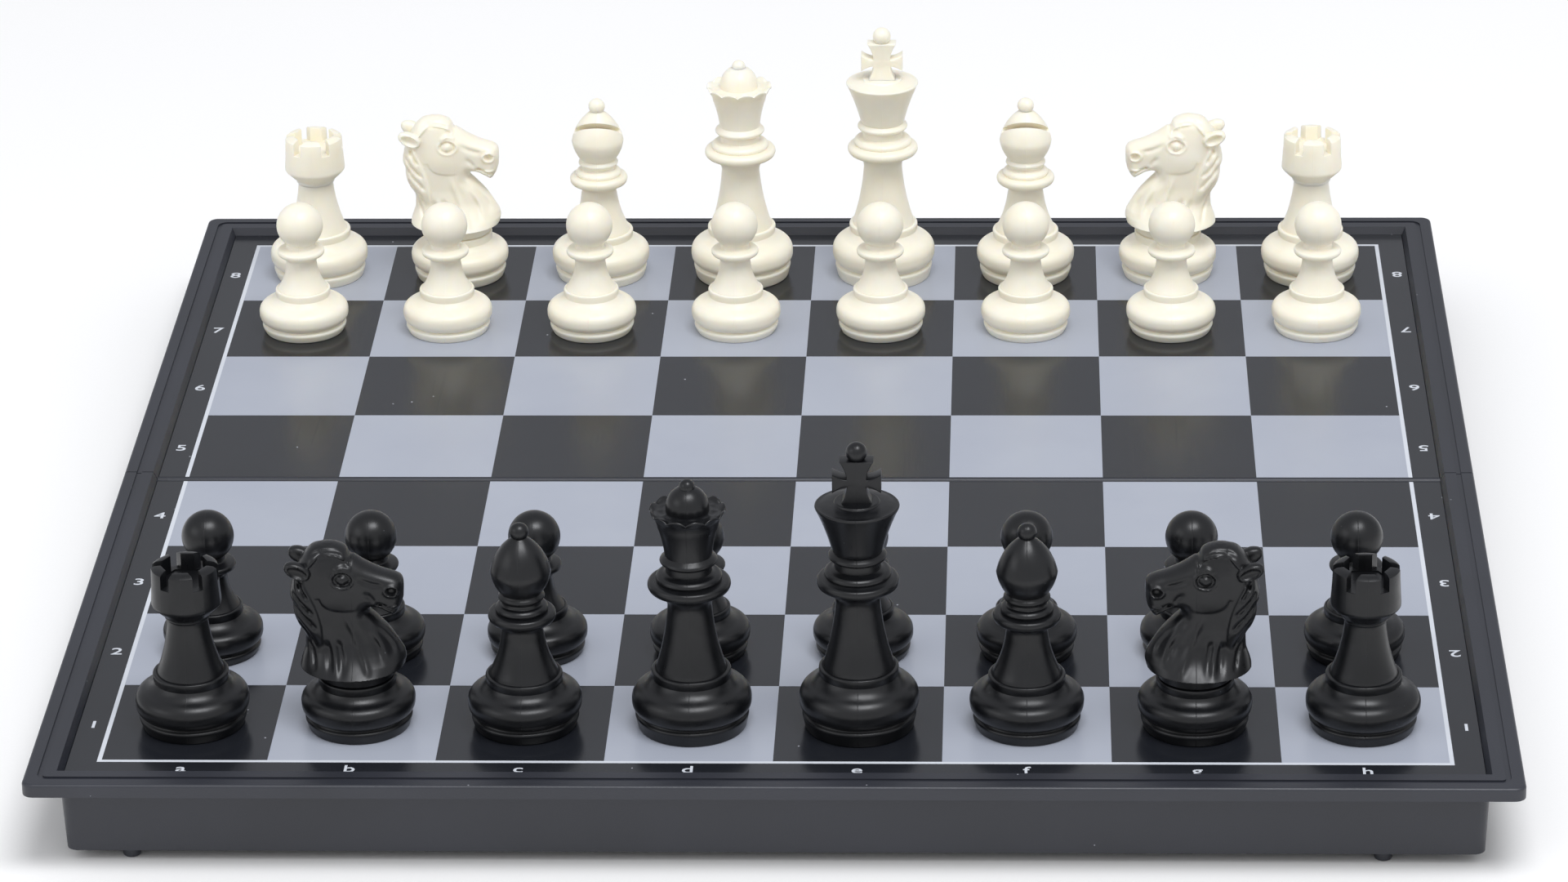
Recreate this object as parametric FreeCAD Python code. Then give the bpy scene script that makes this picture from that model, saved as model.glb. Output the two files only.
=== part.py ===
import FreeCAD, Part
import math
import os
from FreeCAD import Vector

# Folding magnetic travel chess set, open, with its 32 men standing at the start of a game.
# Millimetres. X runs along the files a to h, Y from the black side to the white side, +Z up.
# The origin is on the table under the middle of the open board.

# ---- playing field ----
SQUARE = 36.0
FILES = 8
RANKS_PER_HALF = 4
MIDDLE_GAP = 2.6            # between the two fields, across the hinge line
SIDE_MARGIN = 6.9           # from the field to the foot of the rim, left and right
END_MARGIN = 7.8            # from the field to the foot of the rim, front and back

# ---- case ----
WALL = 2.0
WALL_DRAFT = 0.7            # how far a wall leans in from its top to the mouth
TRAY_DEPTH = 17.5           # playing surface to mouth
CEILING = 1.8               # plastic under the steel plate
PLATE_THICKNESS = 0.5
SHEET_THICKNESS = 0.2
PLATE_CLEARANCE = 0.15
HALF_CLEARANCE = 0.3        # between the two halves at the hinge line
LIP_ROUNDING = 0.8
END_WALL_STEP = 0.1         # the front and back walls stand this much further out
CASE_CORNER = 2.5

# ---- rim around the playing surface ----
RIM_HEIGHT = 1.85
RIM_SLOPE = 0.9             # width of the sloping inner face
RIM_INNER_BAND = 2.7
RIM_GROOVE = 1.2
RIM_OUTER_BAND = 2.9
GROOVE_DEPTH = 0.35
FLANGE_THICKNESS = 2.95
RIM_ROUNDING = 0.7

# ---- hinges and what locates the closed halves ----
BARREL_RADIUS = 2.5
KNUCKLE_LENGTH = 10.0
KNUCKLE_CLEARANCE = 0.3
HINGE_X = 105.0             # middle of each hinge
PIN_RADIUS = 0.8
PIN_RUNNING_CLEARANCE = 0.05
PIN_HEAD_RADIUS = 1.3
PIN_HEAD_THICKNESS = 0.6
CLOSED_GAP = 0.2
PEG_RADIUS = 1.95
PEG_TIP_ROUNDING = 0.6
PEG_CLEARANCE = 0.35
PEG_LEFT_X = -137.5
PEG_RIGHT_X = 129.6
BOSS_RADIUS = 3.3
CATCH_X = 86.5
CATCH_WIDTH = 6.1
CATCH_THICKNESS = 1.6
CATCH_REACH = 1.6           # below the mouth
CATCH_ROOT = 7.0            # above the mouth
CATCH_CLEARANCE = 0.4
CATCH_CHAMFER = 0.4
SOCKET_WALL = 1.2

# ---- men: what they share ----
PAD_THICKNESS = 0.8
PAD_INSET = 3.4             # from the foot's edge to the pad's edge
PAD_CLEARANCE = 0.1
MAGNET_THICKNESS = 3.0
MAGNET_INSET = 1.5          # from the pad's edge to the magnet's edge
FOOT_GROOVE = 0.6
COLLAR_EDGE = 0.8           # height of the thin edges
WIDE_COLLAR_EDGE = 2.0      # height of the wide collar's round edge
CROWN_FLARE_BOW = 1.0       # how far a crown's flare bends in from straight

# ---- men: one set of sizes each, radii and heights above the square ----
KING = {
    "foot_r": 12.2, "band_z": 3.5, "bulge_r": 12.9, "bulge_z": 6.6, "shoulder_r": 7.6, "shoulder_z": 12.7,
    "collar_r": 8.6, "collar_z": 13.8, "stem_foot_r": 7.9, "stem_r": 4.8, "stem_z": 29.3,
    "wide_r": 8.85, "wide_z": 34.5, "ring_r": 7.0, "ring_z": 36.4, "neck_r": 4.8, "neck_z": 38.2,
    "upper_r": 6.3, "upper_z": 40.5,
}
KING_CROWN_FOOT_R = 5.5
KING_CROWN_FOOT_Z = 41.7
KING_CROWN_R = 9.05
KING_CROWN_Z = 51.9
KING_CROWN_DOME = 1.0
CROSS_WIDTH = 10.4
CROSS_HEIGHT = 10.6
CROSS_THICKNESS = 3.4
CROSS_ARM_TIP = 4.6
CROSS_ARM_ROOT = 1.9
KING_BALL_R = 2.25
KING_HEIGHT = 66.3

QUEEN = {
    "foot_r": 12.2, "band_z": 3.4, "bulge_r": 12.9, "bulge_z": 6.1, "shoulder_r": 7.6, "shoulder_z": 12.0,
    "collar_r": 8.57, "collar_z": 13.1, "stem_foot_r": 7.7, "stem_r": 4.75, "stem_z": 28.6,
    "wide_r": 8.94, "wide_z": 33.6, "ring_r": 6.9, "ring_z": 35.3, "neck_r": 5.1, "neck_z": 37.0,
    "upper_r": 6.2, "upper_z": 39.4,
}
QUEEN_CROWN_FOOT_R = 5.3
QUEEN_CROWN_FOOT_Z = 40.6
QUEEN_CROWN_R = 8.2
QUEEN_CROWN_Z = 51.2
QUEEN_CROWN_WALL = 1.5
QUEEN_CROWN_HOLLOW = 1.2
QUEEN_NOTCHES = 12
QUEEN_NOTCH_R = 0.9
QUEEN_NOTCH_RISE = 0.3
QUEEN_DOME_R = 4.66
QUEEN_DOME_Z = 51.6
QUEEN_BALL_R = 1.74
QUEEN_HEIGHT = 57.7

BISHOP = {
    "foot_r": 11.5, "band_z": 2.8, "bulge_r": 12.3, "bulge_z": 6.0, "shoulder_r": 7.3, "shoulder_z": 10.9,
    "collar_r": 8.3, "collar_z": 11.9, "stem_foot_r": 7.55, "stem_r": 4.5, "stem_z": 22.3,
    "wide_r": 7.3, "wide_z": 26.1, "ring_r": 5.4, "ring_z": 27.9, "neck_r": 4.0, "neck_z": 29.1,
    "upper_r": 5.0, "upper_z": 30.5,
}
MITRE_FOOT_R = 4.4
MITRE_FOOT_Z = 31.4
MITRE_R = 6.56
MITRE_Z = 36.4
MITRE_BOW = 1.4
MITRE_TOP_R = 1.4
MITRE_TOP_Z = 44.7
MITRE_SLIT = 1.3
MITRE_SLIT_Z = 38.6
MITRE_SLIT_LEAN = 38.0      # degrees from level
BISHOP_BALL_R = 2.1
BISHOP_HEIGHT = 47.5

ROOK = {
    "foot_r": 11.5, "band_z": 2.8, "bulge_r": 12.3, "bulge_z": 5.8, "shoulder_r": 7.2, "shoulder_z": 11.2,
    "collar_r": 8.2, "collar_z": 12.3, "stem_foot_r": 7.3, "stem_r": 4.4, "stem_z": 24.1,
}
TURRET_FOOT_R = 5.2
TURRET_FOOT_Z = 26.0
TURRET_LEDGE_R = 7.7
TURRET_LEDGE_Z = 29.4
TURRET_R = 7.3
TURRET_HOLLOW_R = 5.2
TURRET_HOLLOW_DEPTH = 4.4
MERLONS = 6
MERLON_HEIGHT = 3.8
MERLON_SLOT = 1.8
ROOK_HEIGHT = 39.9

PAWN = {
    "foot_r": 10.35, "band_z": 2.3, "bulge_r": 11.05, "bulge_z": 5.1, "shoulder_r": 5.9, "shoulder_z": 9.8,
    "collar_r": 6.8, "collar_z": 10.8, "stem_foot_r": 6.2, "stem_r": 3.8, "stem_z": 17.8,
}
PAWN_PLATE_R = 5.85
PAWN_PLATE_Z = 20.9
PAWN_HEAD_R = 5.74
PAWN_HEIGHT = 33.5

KNIGHT = {
    "foot_r": 11.5, "band_z": 2.8, "bulge_r": 12.3, "bulge_z": 5.8, "shoulder_r": 7.6, "shoulder_z": 10.6,
    "collar_r": 8.5, "collar_z": 11.6,
}
KNIGHT_SEAT_R = 8.0
KNIGHT_HEM_Z = 14.8         # lower edge of the neck's flared skirt
KNIGHT_HEM_HALF_WIDTH = 10.0
KNIGHT_NECK_HALF_WIDTH = 5.2
KNIGHT_TOP_HALF_WIDTH = 3.4
KNIGHT_HEIGHT = 43.2
KNIGHT_NECK_FROM = 0.3      # shares of the head's height between which the neck keeps its width
KNIGHT_NECK_TO = 0.8

BACK_RANK = ["rook", "knight", "bishop", "queen", "king", "bishop", "knight", "rook"]
FILE_LETTERS = "abcdefgh"

# ---- worked out from the sizes above ----
HINGE_Z = BARREL_RADIUS
MOUTH_Z = HINGE_Z + CLOSED_GAP / 2
PLAYING_Z = MOUTH_Z + TRAY_DEPTH
RIM_TOP_Z = PLAYING_Z + RIM_HEIGHT
FLANGE_Z = RIM_TOP_Z - FLANGE_THICKNESS
PLATE_Z = PLAYING_Z - SHEET_THICKNESS - PLATE_THICKNESS
CEILING_Z = PLATE_Z - CEILING
JOINT_Y = HALF_CLEARANCE / 2
FIELD_X = SQUARE * FILES / 2
FIELD_NEAR_Y = MIDDLE_GAP / 2
FIELD_FAR_Y = FIELD_NEAR_Y + SQUARE * RANKS_PER_HALF
FOOT_X = FIELD_X + SIDE_MARGIN
FOOT_Y = FIELD_FAR_Y + END_MARGIN
RIM_WIDTH = RIM_SLOPE + RIM_INNER_BAND + RIM_GROOVE + RIM_OUTER_BAND
CASE_X = FOOT_X + RIM_WIDTH
CASE_Y = FOOT_Y + RIM_WIDTH
WALL_X = FOOT_X + RIM_SLOPE
WALL_Y = FOOT_Y + RIM_SLOPE + END_WALL_STEP
PEG_Y = WALL_Y - WALL_DRAFT - BOSS_RADIUS
PAST = 10.0                 # how far a cutting tool runs past the face it opens
NEAR = 0.01


def rectangle(half_x, y_low, y_high, z):
    """A level rectangle, centred on the YZ plane, as a closed wire."""
    corners = [
        Vector(-half_x, y_low, z),
        Vector(half_x, y_low, z),
        Vector(half_x, y_high, z),
        Vector(-half_x, y_high, z),
    ]
    return Part.makePolygon(corners + corners[:1])


def block(x_low, x_high, y_low, y_high, z_low, z_high):
    """A plain box between two corners."""
    size = Vector(x_high - x_low, y_high - y_low, z_high - z_low)
    return Part.makeBox(size.x, size.y, size.z, Vector(x_low, y_low, z_low))


def upright_edges(shape, y_below):
    """The edges that run mostly up and down and lie nearer the outside than y_below."""
    found = []
    for edge in shape.Edges:
        box = edge.BoundBox
        if box.ZLength > 3 * max(box.XLength, box.YLength) and box.YMax < y_below:
            found.append(edge)
    return found


def rounded_slab(half_x, y_low, y_high, z_low, z_high, corner):
    """A slab with its two outer upright edges rounded."""
    slab = block(-half_x, half_x, y_low, y_high, z_low, z_high)
    return slab.makeFillet(corner, upright_edges(slab, y_low + corner))


def tapered_block(half_x, y_low, y_high, z_low, z_high, lean, corner):
    """A block whose three outer faces lean in by lean from its top to its bottom."""
    top = rectangle(half_x, y_low, y_high, z_high)
    bottom = rectangle(half_x - lean, y_low + lean, y_high, z_low)
    solid = Part.makeLoft([bottom, top], True, True)
    return solid.makeFillet(corner, upright_edges(solid, y_low + corner))


def flange():
    """The rim and flange as one slab, its top outer edge rounded."""
    slab = rounded_slab(CASE_X, -CASE_Y, -JOINT_Y, FLANGE_Z, RIM_TOP_Z, CASE_CORNER)
    top_edges = []
    for edge in slab.Edges:
        box = edge.BoundBox
        on_top = box.ZMin > RIM_TOP_Z - NEAR
        along_joint = box.YMin > -JOINT_Y - NEAR
        if on_top and not along_joint:
            top_edges.append(edge)
    return slab.makeFillet(RIM_ROUNDING, top_edges)


def groove():
    """The shallow channel that runs round the top of the rim."""
    inner = RIM_SLOPE + RIM_INNER_BAND
    outer = inner + RIM_GROOVE
    z_low = RIM_TOP_Z - GROOVE_DEPTH
    z_high = RIM_TOP_Z + PAST
    ring = rounded_slab(FOOT_X + outer, -FOOT_Y - outer, PAST, z_low, z_high, CASE_CORNER)
    core = rounded_slab(FOOT_X + inner, -FOOT_Y - inner, PAST, z_low, z_high, RIM_SLOPE)
    return ring.cut(core)


def field_hollow():
    """The space over the playing surface, with the rim's sloping faces round it."""
    height = RIM_HEIGHT + PAST
    spread = RIM_SLOPE * height / RIM_HEIGHT
    foot = rectangle(FOOT_X, -FOOT_Y, PAST, PLAYING_Z)
    top = rectangle(FOOT_X + spread, -FOOT_Y - spread, PAST, PLAYING_Z + height)
    return Part.makeLoft([foot, top], True, True)


def plate_seat():
    """The recess that takes the steel plate and the printed sheet."""
    y_high = -FIELD_NEAR_Y + PLATE_CLEARANCE
    return block(-FOOT_X, FOOT_X, -FOOT_Y, y_high, PLATE_Z, PLAYING_Z)


def lip_rounding():
    """What comes off the lip's edge along the hinge line."""
    centre_y = -JOINT_Y - LIP_ROUNDING
    centre_z = PLAYING_Z - LIP_ROUNDING
    corner = block(-FOOT_X, FOOT_X, centre_y, PAST, centre_z, PLAYING_Z + PAST)
    start = Vector(-FOOT_X, centre_y, centre_z)
    rounding = Part.makeCylinder(LIP_ROUNDING, 2 * FOOT_X, start, Vector(1, 0, 0))
    return corner.cut(rounding)


def knuckle_spans():
    """Where one half has its hinge knuckles: two on the left hinge, one on the right."""
    pitch = KNUCKLE_LENGTH + KNUCKLE_CLEARANCE
    return [-HINGE_X - pitch, -HINGE_X + pitch, HINGE_X]


def barrel(middle_x, length, radius):
    """A cylinder about the hinge line."""
    start = Vector(middle_x - length / 2, 0, HINGE_Z)
    return Part.makeCylinder(radius, length, start, Vector(1, 0, 0))


def hinge_length():
    """The length of one hinge over its three knuckles."""
    return 3 * KNUCKLE_LENGTH + 2 * KNUCKLE_CLEARANCE


def head_space(middle_x, side):
    """The room for a pin's head beside a hinge's outer knuckle."""
    length = PIN_HEAD_THICKNESS + KNUCKLE_CLEARANCE
    head_x = middle_x + side * (hinge_length() + length) / 2
    return barrel(head_x, length, PIN_HEAD_RADIUS + KNUCKLE_CLEARANCE)


def peg(x):
    """A locating peg that stands out of the mouth and carries the board on the table."""
    shank = Part.makeCylinder(PEG_RADIUS, MOUTH_Z + WALL, Vector(x, -PEG_Y, 0))
    tip_edges = [edge for edge in shank.Edges if edge.BoundBox.ZMax < NEAR]
    return shank.makeFillet(PEG_TIP_ROUNDING, tip_edges)


def boss(x):
    """The round post that carries a peg, or takes the other half's peg."""
    return Part.makeCylinder(BOSS_RADIUS, CEILING_Z - MOUTH_Z + CEILING / 2, Vector(x, -PEG_Y, MOUTH_Z))


def peg_hole(x):
    """The blind hole for the other half's peg."""
    depth = MOUTH_Z + CATCH_CLEARANCE
    start = Vector(x, -PEG_Y, MOUTH_Z - PAST)
    return Part.makeCylinder(PEG_RADIUS + PEG_CLEARANCE, depth + PAST, start)


def catch_box(x, grow, z_low, z_high):
    """A box about a catch tongue, grown sideways by grow."""
    y_low = -PEG_Y - CATCH_THICKNESS / 2
    half = CATCH_WIDTH / 2 + grow
    return block(x - half, x + half, y_low - grow, y_low + CATCH_THICKNESS + grow, z_low, z_high)


def catch_socket():
    """The block with a slot that the other half's catch snaps into."""
    z_high = MOUTH_Z + CATCH_ROOT
    shell = CATCH_CLEARANCE + SOCKET_WALL
    outside = catch_box(-CATCH_X, shell, MOUTH_Z, z_high)
    x_low = outside.BoundBox.XMin
    x_high = outside.BoundBox.XMax
    web = block(x_low, x_high, -WALL_Y + WALL_DRAFT + WALL / 2, -PEG_Y, MOUTH_Z, z_high)
    slot = catch_box(-CATCH_X, CATCH_CLEARANCE, MOUTH_Z - PAST, MOUTH_Z + CATCH_REACH + CATCH_CLEARANCE)
    return outside.fuse(web).cut(slot)


def catch_seat():
    """The rib on the wall that the half's own catch is held in."""
    outside = catch_box(CATCH_X, SOCKET_WALL, MOUTH_Z, MOUTH_Z + CATCH_ROOT + SOCKET_WALL)
    x_low = outside.BoundBox.XMin
    x_high = outside.BoundBox.XMax
    z_high = MOUTH_Z + CATCH_ROOT + SOCKET_WALL
    web = block(x_low, x_high, -WALL_Y + WALL_DRAFT + WALL / 2, -PEG_Y, MOUTH_Z, z_high)
    return outside.fuse(web).cut(catch_box(CATCH_X, 0, MOUTH_Z - PAST, MOUTH_Z + CATCH_ROOT))


def tray():
    """One half of the case, on the black side; the other half is the same moulding turned round."""
    walls = tapered_block(WALL_X, -WALL_Y, -JOINT_Y, MOUTH_Z, FLANGE_Z + FLANGE_THICKNESS / 2,
                          WALL_DRAFT, CASE_CORNER)
    cavity_lean = WALL_DRAFT * (CEILING_Z - MOUTH_Z) / (FLANGE_Z - MOUTH_Z)
    cavity = tapered_block(WALL_X - WALL, -WALL_Y + WALL, -JOINT_Y - WALL, MOUTH_Z, CEILING_Z,
                           cavity_lean, CASE_CORNER / 2)
    below = rectangle(WALL_X - WALL - cavity_lean, -WALL_Y + WALL + cavity_lean, -JOINT_Y - WALL, MOUTH_Z)
    mouth = Part.Face(below).extrude(Vector(0, 0, -PAST))
    solid = flange().fuse(walls).cut(cavity).cut(mouth)
    solid = solid.cut(groove()).cut(field_hollow()).cut(plate_seat()).cut(lip_rounding())
    for x in (PEG_LEFT_X, PEG_RIGHT_X):
        solid = solid.fuse([boss(x), boss(-x)])
    solid = solid.fuse([catch_socket(), catch_seat()])
    for x in (PEG_LEFT_X, PEG_RIGHT_X):
        solid = solid.fuse(peg(x)).cut(peg_hole(-x))
    notch_length = KNUCKLE_LENGTH + 2 * KNUCKLE_CLEARANCE
    for x in knuckle_spans():
        solid = solid.cut(barrel(-x, notch_length, BARREL_RADIUS + KNUCKLE_CLEARANCE))
    for x in (-HINGE_X, HINGE_X):
        solid = solid.cut([head_space(x, side) for side in (-1, 1)])
    for x in knuckle_spans():
        solid = solid.fuse(barrel(x, KNUCKLE_LENGTH, BARREL_RADIUS))
    bore = barrel(0, 2 * CASE_X, PIN_RADIUS + PIN_RUNNING_CLEARANCE)
    return solid.cut(bore).removeSplitter()


def steel_plate():
    """The thin plate that the men's magnets hold to."""
    half_x = FOOT_X - PLATE_CLEARANCE
    y_low = -FOOT_Y + PLATE_CLEARANCE
    return block(-half_x, half_x, y_low, -FIELD_NEAR_Y, PLATE_Z, PLATE_Z + PLATE_THICKNESS)


def playing_sheet():
    """The printed sheet over the plate."""
    half_x = FOOT_X - PLATE_CLEARANCE
    y_low = -FOOT_Y + PLATE_CLEARANCE
    return block(-half_x, half_x, y_low, -FIELD_NEAR_Y, PLATE_Z + PLATE_THICKNESS, PLAYING_Z)


def hinge_pin():
    """The pin of the left hinge, headed at both ends against the outer knuckles."""
    shank = barrel(-HINGE_X, hinge_length(), PIN_RADIUS)
    reach = (hinge_length() + PIN_HEAD_THICKNESS) / 2
    heads = [barrel(-HINGE_X + side * reach, PIN_HEAD_THICKNESS, PIN_HEAD_RADIUS) for side in (-1, 1)]
    return shank.fuse(heads)


def snap_catch():
    """The spring tongue that stands out of the mouth and holds the closed case shut."""
    tongue = catch_box(CATCH_X, 0, MOUTH_Z - CATCH_REACH, MOUTH_Z + CATCH_ROOT)
    tip_edges = [edge for edge in tongue.Edges if edge.BoundBox.ZMax < MOUTH_Z - CATCH_REACH + NEAR]
    return tongue.makeChamfer(CATCH_CHAMFER, tip_edges)


class Outline:
    """The half outline of a turned man, drawn upwards as (radius, height) points."""

    def __init__(self, radius, height):
        self.start = Vector(radius, 0, height)
        self.at = self.start
        self.edges = []

    def line(self, radius, height):
        end = Vector(radius, 0, height)
        self.edges.append(Part.LineSegment(self.at, end).toShape())
        self.at = end

    def arc(self, via_radius, via_height, radius, height):
        end = Vector(radius, 0, height)
        self.edges.append(Part.Arc(self.at, Vector(via_radius, 0, via_height), end).toShape())
        self.at = end

    def hollow(self, radius, height, depth):
        """An arc to the next point that bows inwards, towards the axis, by depth."""
        chord_r = radius - self.at.x
        chord_z = height - self.at.z
        length = math.hypot(chord_r, chord_z)
        middle_r = (radius + self.at.x) / 2 - depth * chord_z / length
        middle_z = (height + self.at.z) / 2 + depth * chord_r / length
        self.arc(middle_r, middle_z, radius, height)

    def solid(self):
        """Closes the outline on the axis and turns it."""
        if self.at.x > 0:
            self.line(0, self.at.z)
        self.line(0, self.start.z)
        self.line(self.start.x, self.start.z)
        return Part.Face(Part.Wire(self.edges)).revolve(Vector(0, 0, 0), Vector(0, 0, 1), 360)


def draw_base(size):
    """Foot band, groove, bulge, shoulder and the thin collar above it."""
    outline = Outline(size["foot_r"], 0)
    outline.line(size["foot_r"], size["band_z"])
    groove_z = size["band_z"] + FOOT_GROOVE / 2
    outline.arc(size["foot_r"] - FOOT_GROOVE, groove_z, size["foot_r"], size["band_z"] + FOOT_GROOVE)
    over_r = (size["bulge_r"] + size["shoulder_r"]) / 2
    over_z = (size["bulge_z"] + size["shoulder_z"]) / 2
    outline.arc(size["bulge_r"], size["bulge_z"], over_r, over_z + FOOT_GROOVE)
    outline.hollow(size["shoulder_r"], size["shoulder_z"], FOOT_GROOVE / 2)
    draw_edge(outline, size["collar_r"], size["collar_z"])
    return outline


def draw_edge(outline, radius, middle_z):
    """A thin rounded edge that stands out to radius."""
    half = COLLAR_EDGE / 2
    outline.line(radius - half, middle_z - half)
    outline.arc(radius, middle_z, radius - half, middle_z + half)


def draw_stem(outline, size):
    """The hollow flare from the collar up to the narrowest place."""
    outline.line(size["stem_foot_r"], size["collar_z"] + COLLAR_EDGE / 2)
    sag = (size["stem_foot_r"] - size["stem_r"]) / 2
    outline.hollow(size["stem_r"], size["stem_z"], sag)


def draw_collars(outline, size):
    """The wide collar, the ring over it, the neck and the upper ring."""
    edge = WIDE_COLLAR_EDGE / 2
    outline.hollow(size["wide_r"] - edge, size["wide_z"] - edge, edge)
    outline.arc(size["wide_r"], size["wide_z"], size["wide_r"] - edge, size["wide_z"] + edge)
    outline.line(size["ring_r"], size["ring_z"] - COLLAR_EDGE / 2)
    outline.arc(size["ring_r"], size["ring_z"], size["neck_r"], size["neck_z"])
    upper_half = (size["upper_z"] - size["neck_z"]) / 2
    inset_r = size["upper_r"] - COLLAR_EDGE / 2
    outline.line(inset_r, size["upper_z"] - upper_half)
    outline.arc(size["upper_r"], size["upper_z"], inset_r, size["upper_z"] + upper_half)


def with_foot(body, size):
    """The moulded body with its pad and magnet let into the foot, as three solids."""
    pad_r = size["foot_r"] - PAD_INSET
    magnet_r = pad_r - MAGNET_INSET
    pad_top = PAD_THICKNESS
    magnet_top = pad_top + MAGNET_THICKNESS
    pad_hole = Part.makeCylinder(pad_r + PAD_CLEARANCE, pad_top)
    magnet_hole = Part.makeCylinder(magnet_r + PAD_CLEARANCE, magnet_top)
    pad = Part.makeCylinder(pad_r, pad_top)
    magnet = Part.makeCylinder(magnet_r, MAGNET_THICKNESS, Vector(0, 0, pad_top))
    hollowed = body.cut(pad_hole).cut(magnet_hole)
    return Part.makeCompound(hollowed.Solids + [pad, magnet])


def ball(radius, top_z):
    """A ball whose top is at top_z."""
    return Part.makeSphere(radius, Vector(0, 0, top_z - radius))


def cross():
    """The king's cross, its four arms widening to their tips."""
    half_w = CROSS_WIDTH / 2
    half_h = CROSS_HEIGHT / 2
    tip = CROSS_ARM_TIP / 2
    root = CROSS_ARM_ROOT / 2
    top = [(root, root), (tip, half_h), (-tip, half_h), (-root, root)]
    left = [(-half_w, tip), (-half_w, -tip), (-root, -root)]
    bottom = [(-tip, -half_h), (tip, -half_h), (root, -root)]
    right = [(half_w, -tip), (half_w, tip), (root, root)]
    middle_z = KING_CROWN_Z + KING_CROWN_DOME / 2 + half_h
    outline = top + left + bottom + right
    points = [Vector(x, -CROSS_THICKNESS / 2, middle_z + z) for x, z in outline]
    return Part.Face(Part.makePolygon(points)).extrude(Vector(0, CROSS_THICKNESS, 0))


def king():
    """The king: plain flared crown, cross and ball."""
    outline = draw_base(KING)
    draw_stem(outline, KING)
    draw_collars(outline, KING)
    outline.line(KING_CROWN_FOOT_R, KING_CROWN_FOOT_Z)
    outline.hollow(KING_CROWN_R, KING_CROWN_Z, CROWN_FLARE_BOW)
    outline.line(KING_CROWN_R - COLLAR_EDGE, KING_CROWN_Z + COLLAR_EDGE / 2)
    outline.line(0, KING_CROWN_Z + KING_CROWN_DOME)
    return with_foot(outline.solid().fuse([cross(), ball(KING_BALL_R, KING_HEIGHT)]), KING)


def queen():
    """The queen: flared crown with a notched edge, dome and ball."""
    outline = draw_base(QUEEN)
    draw_stem(outline, QUEEN)
    draw_collars(outline, QUEEN)
    outline.line(QUEEN_CROWN_FOOT_R, QUEEN_CROWN_FOOT_Z)
    outline.hollow(QUEEN_CROWN_R, QUEEN_CROWN_Z, CROWN_FLARE_BOW)
    outline.line(QUEEN_CROWN_R - QUEEN_CROWN_WALL, QUEEN_CROWN_Z)
    outline.line(QUEEN_DOME_R, QUEEN_CROWN_Z - QUEEN_CROWN_HOLLOW)
    body = outline.solid()
    for index in range(QUEEN_NOTCHES):
        start = Vector(0, 0, QUEEN_CROWN_Z + QUEEN_NOTCH_RISE)
        notch = Part.makeCylinder(QUEEN_NOTCH_R, 2 * QUEEN_CROWN_R, start, Vector(1, 0, 0))
        notch.rotate(Vector(0, 0, 0), Vector(0, 0, 1), 360 * (index + 0.5) / QUEEN_NOTCHES)
        body = body.cut(notch)
    dome = Part.makeSphere(QUEEN_DOME_R, Vector(0, 0, QUEEN_DOME_Z))
    neck_height = QUEEN_HEIGHT - QUEEN_BALL_R - QUEEN_DOME_Z
    neck = Part.makeCylinder(QUEEN_BALL_R / 2, neck_height, Vector(0, 0, QUEEN_DOME_Z))
    return with_foot(body.fuse([dome, neck, ball(QUEEN_BALL_R, QUEEN_HEIGHT)]), QUEEN)


def bishop():
    """The bishop: an egg-shaped mitre with a slanting slit, and a ball."""
    outline = draw_base(BISHOP)
    draw_stem(outline, BISHOP)
    draw_collars(outline, BISHOP)
    outline.line(MITRE_FOOT_R, MITRE_FOOT_Z)
    outline.arc((MITRE_R + MITRE_FOOT_R) / 2 + COLLAR_EDGE, (MITRE_FOOT_Z + MITRE_Z) / 2, MITRE_R, MITRE_Z)
    outline.hollow(MITRE_TOP_R, MITRE_TOP_Z, -MITRE_BOW)
    body = outline.solid()
    slit = block(-MITRE_R, MITRE_R, 0, 2 * MITRE_R, -MITRE_SLIT / 2, MITRE_SLIT / 2)
    slit.rotate(Vector(0, 0, 0), Vector(1, 0, 0), MITRE_SLIT_LEAN)
    slit.translate(Vector(0, 0, MITRE_SLIT_Z))
    return with_foot(body.cut(slit).fuse(ball(BISHOP_BALL_R, BISHOP_HEIGHT)), BISHOP)


def rook():
    """The rook: a hollow turret with merlons."""
    outline = draw_base(ROOK)
    draw_stem(outline, ROOK)
    outline.line(TURRET_FOOT_R, TURRET_FOOT_Z)
    outline.line(TURRET_LEDGE_R, TURRET_LEDGE_Z)
    outline.line(TURRET_R, TURRET_LEDGE_Z + COLLAR_EDGE)
    outline.line(TURRET_R, ROOK_HEIGHT)
    outline.line(TURRET_HOLLOW_R, ROOK_HEIGHT)
    outline.line(TURRET_HOLLOW_R, ROOK_HEIGHT - TURRET_HOLLOW_DEPTH)
    body = outline.solid()
    floor_z = ROOK_HEIGHT - MERLON_HEIGHT
    for index in range(MERLONS):
        slot = block(0, 2 * TURRET_R, -MERLON_SLOT / 2, MERLON_SLOT / 2, floor_z, ROOK_HEIGHT + PAST)
        slot.rotate(Vector(0, 0, 0), Vector(0, 0, 1), 360 * index / MERLONS)
        body = body.cut(slot)
    return with_foot(body, ROOK)


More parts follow.
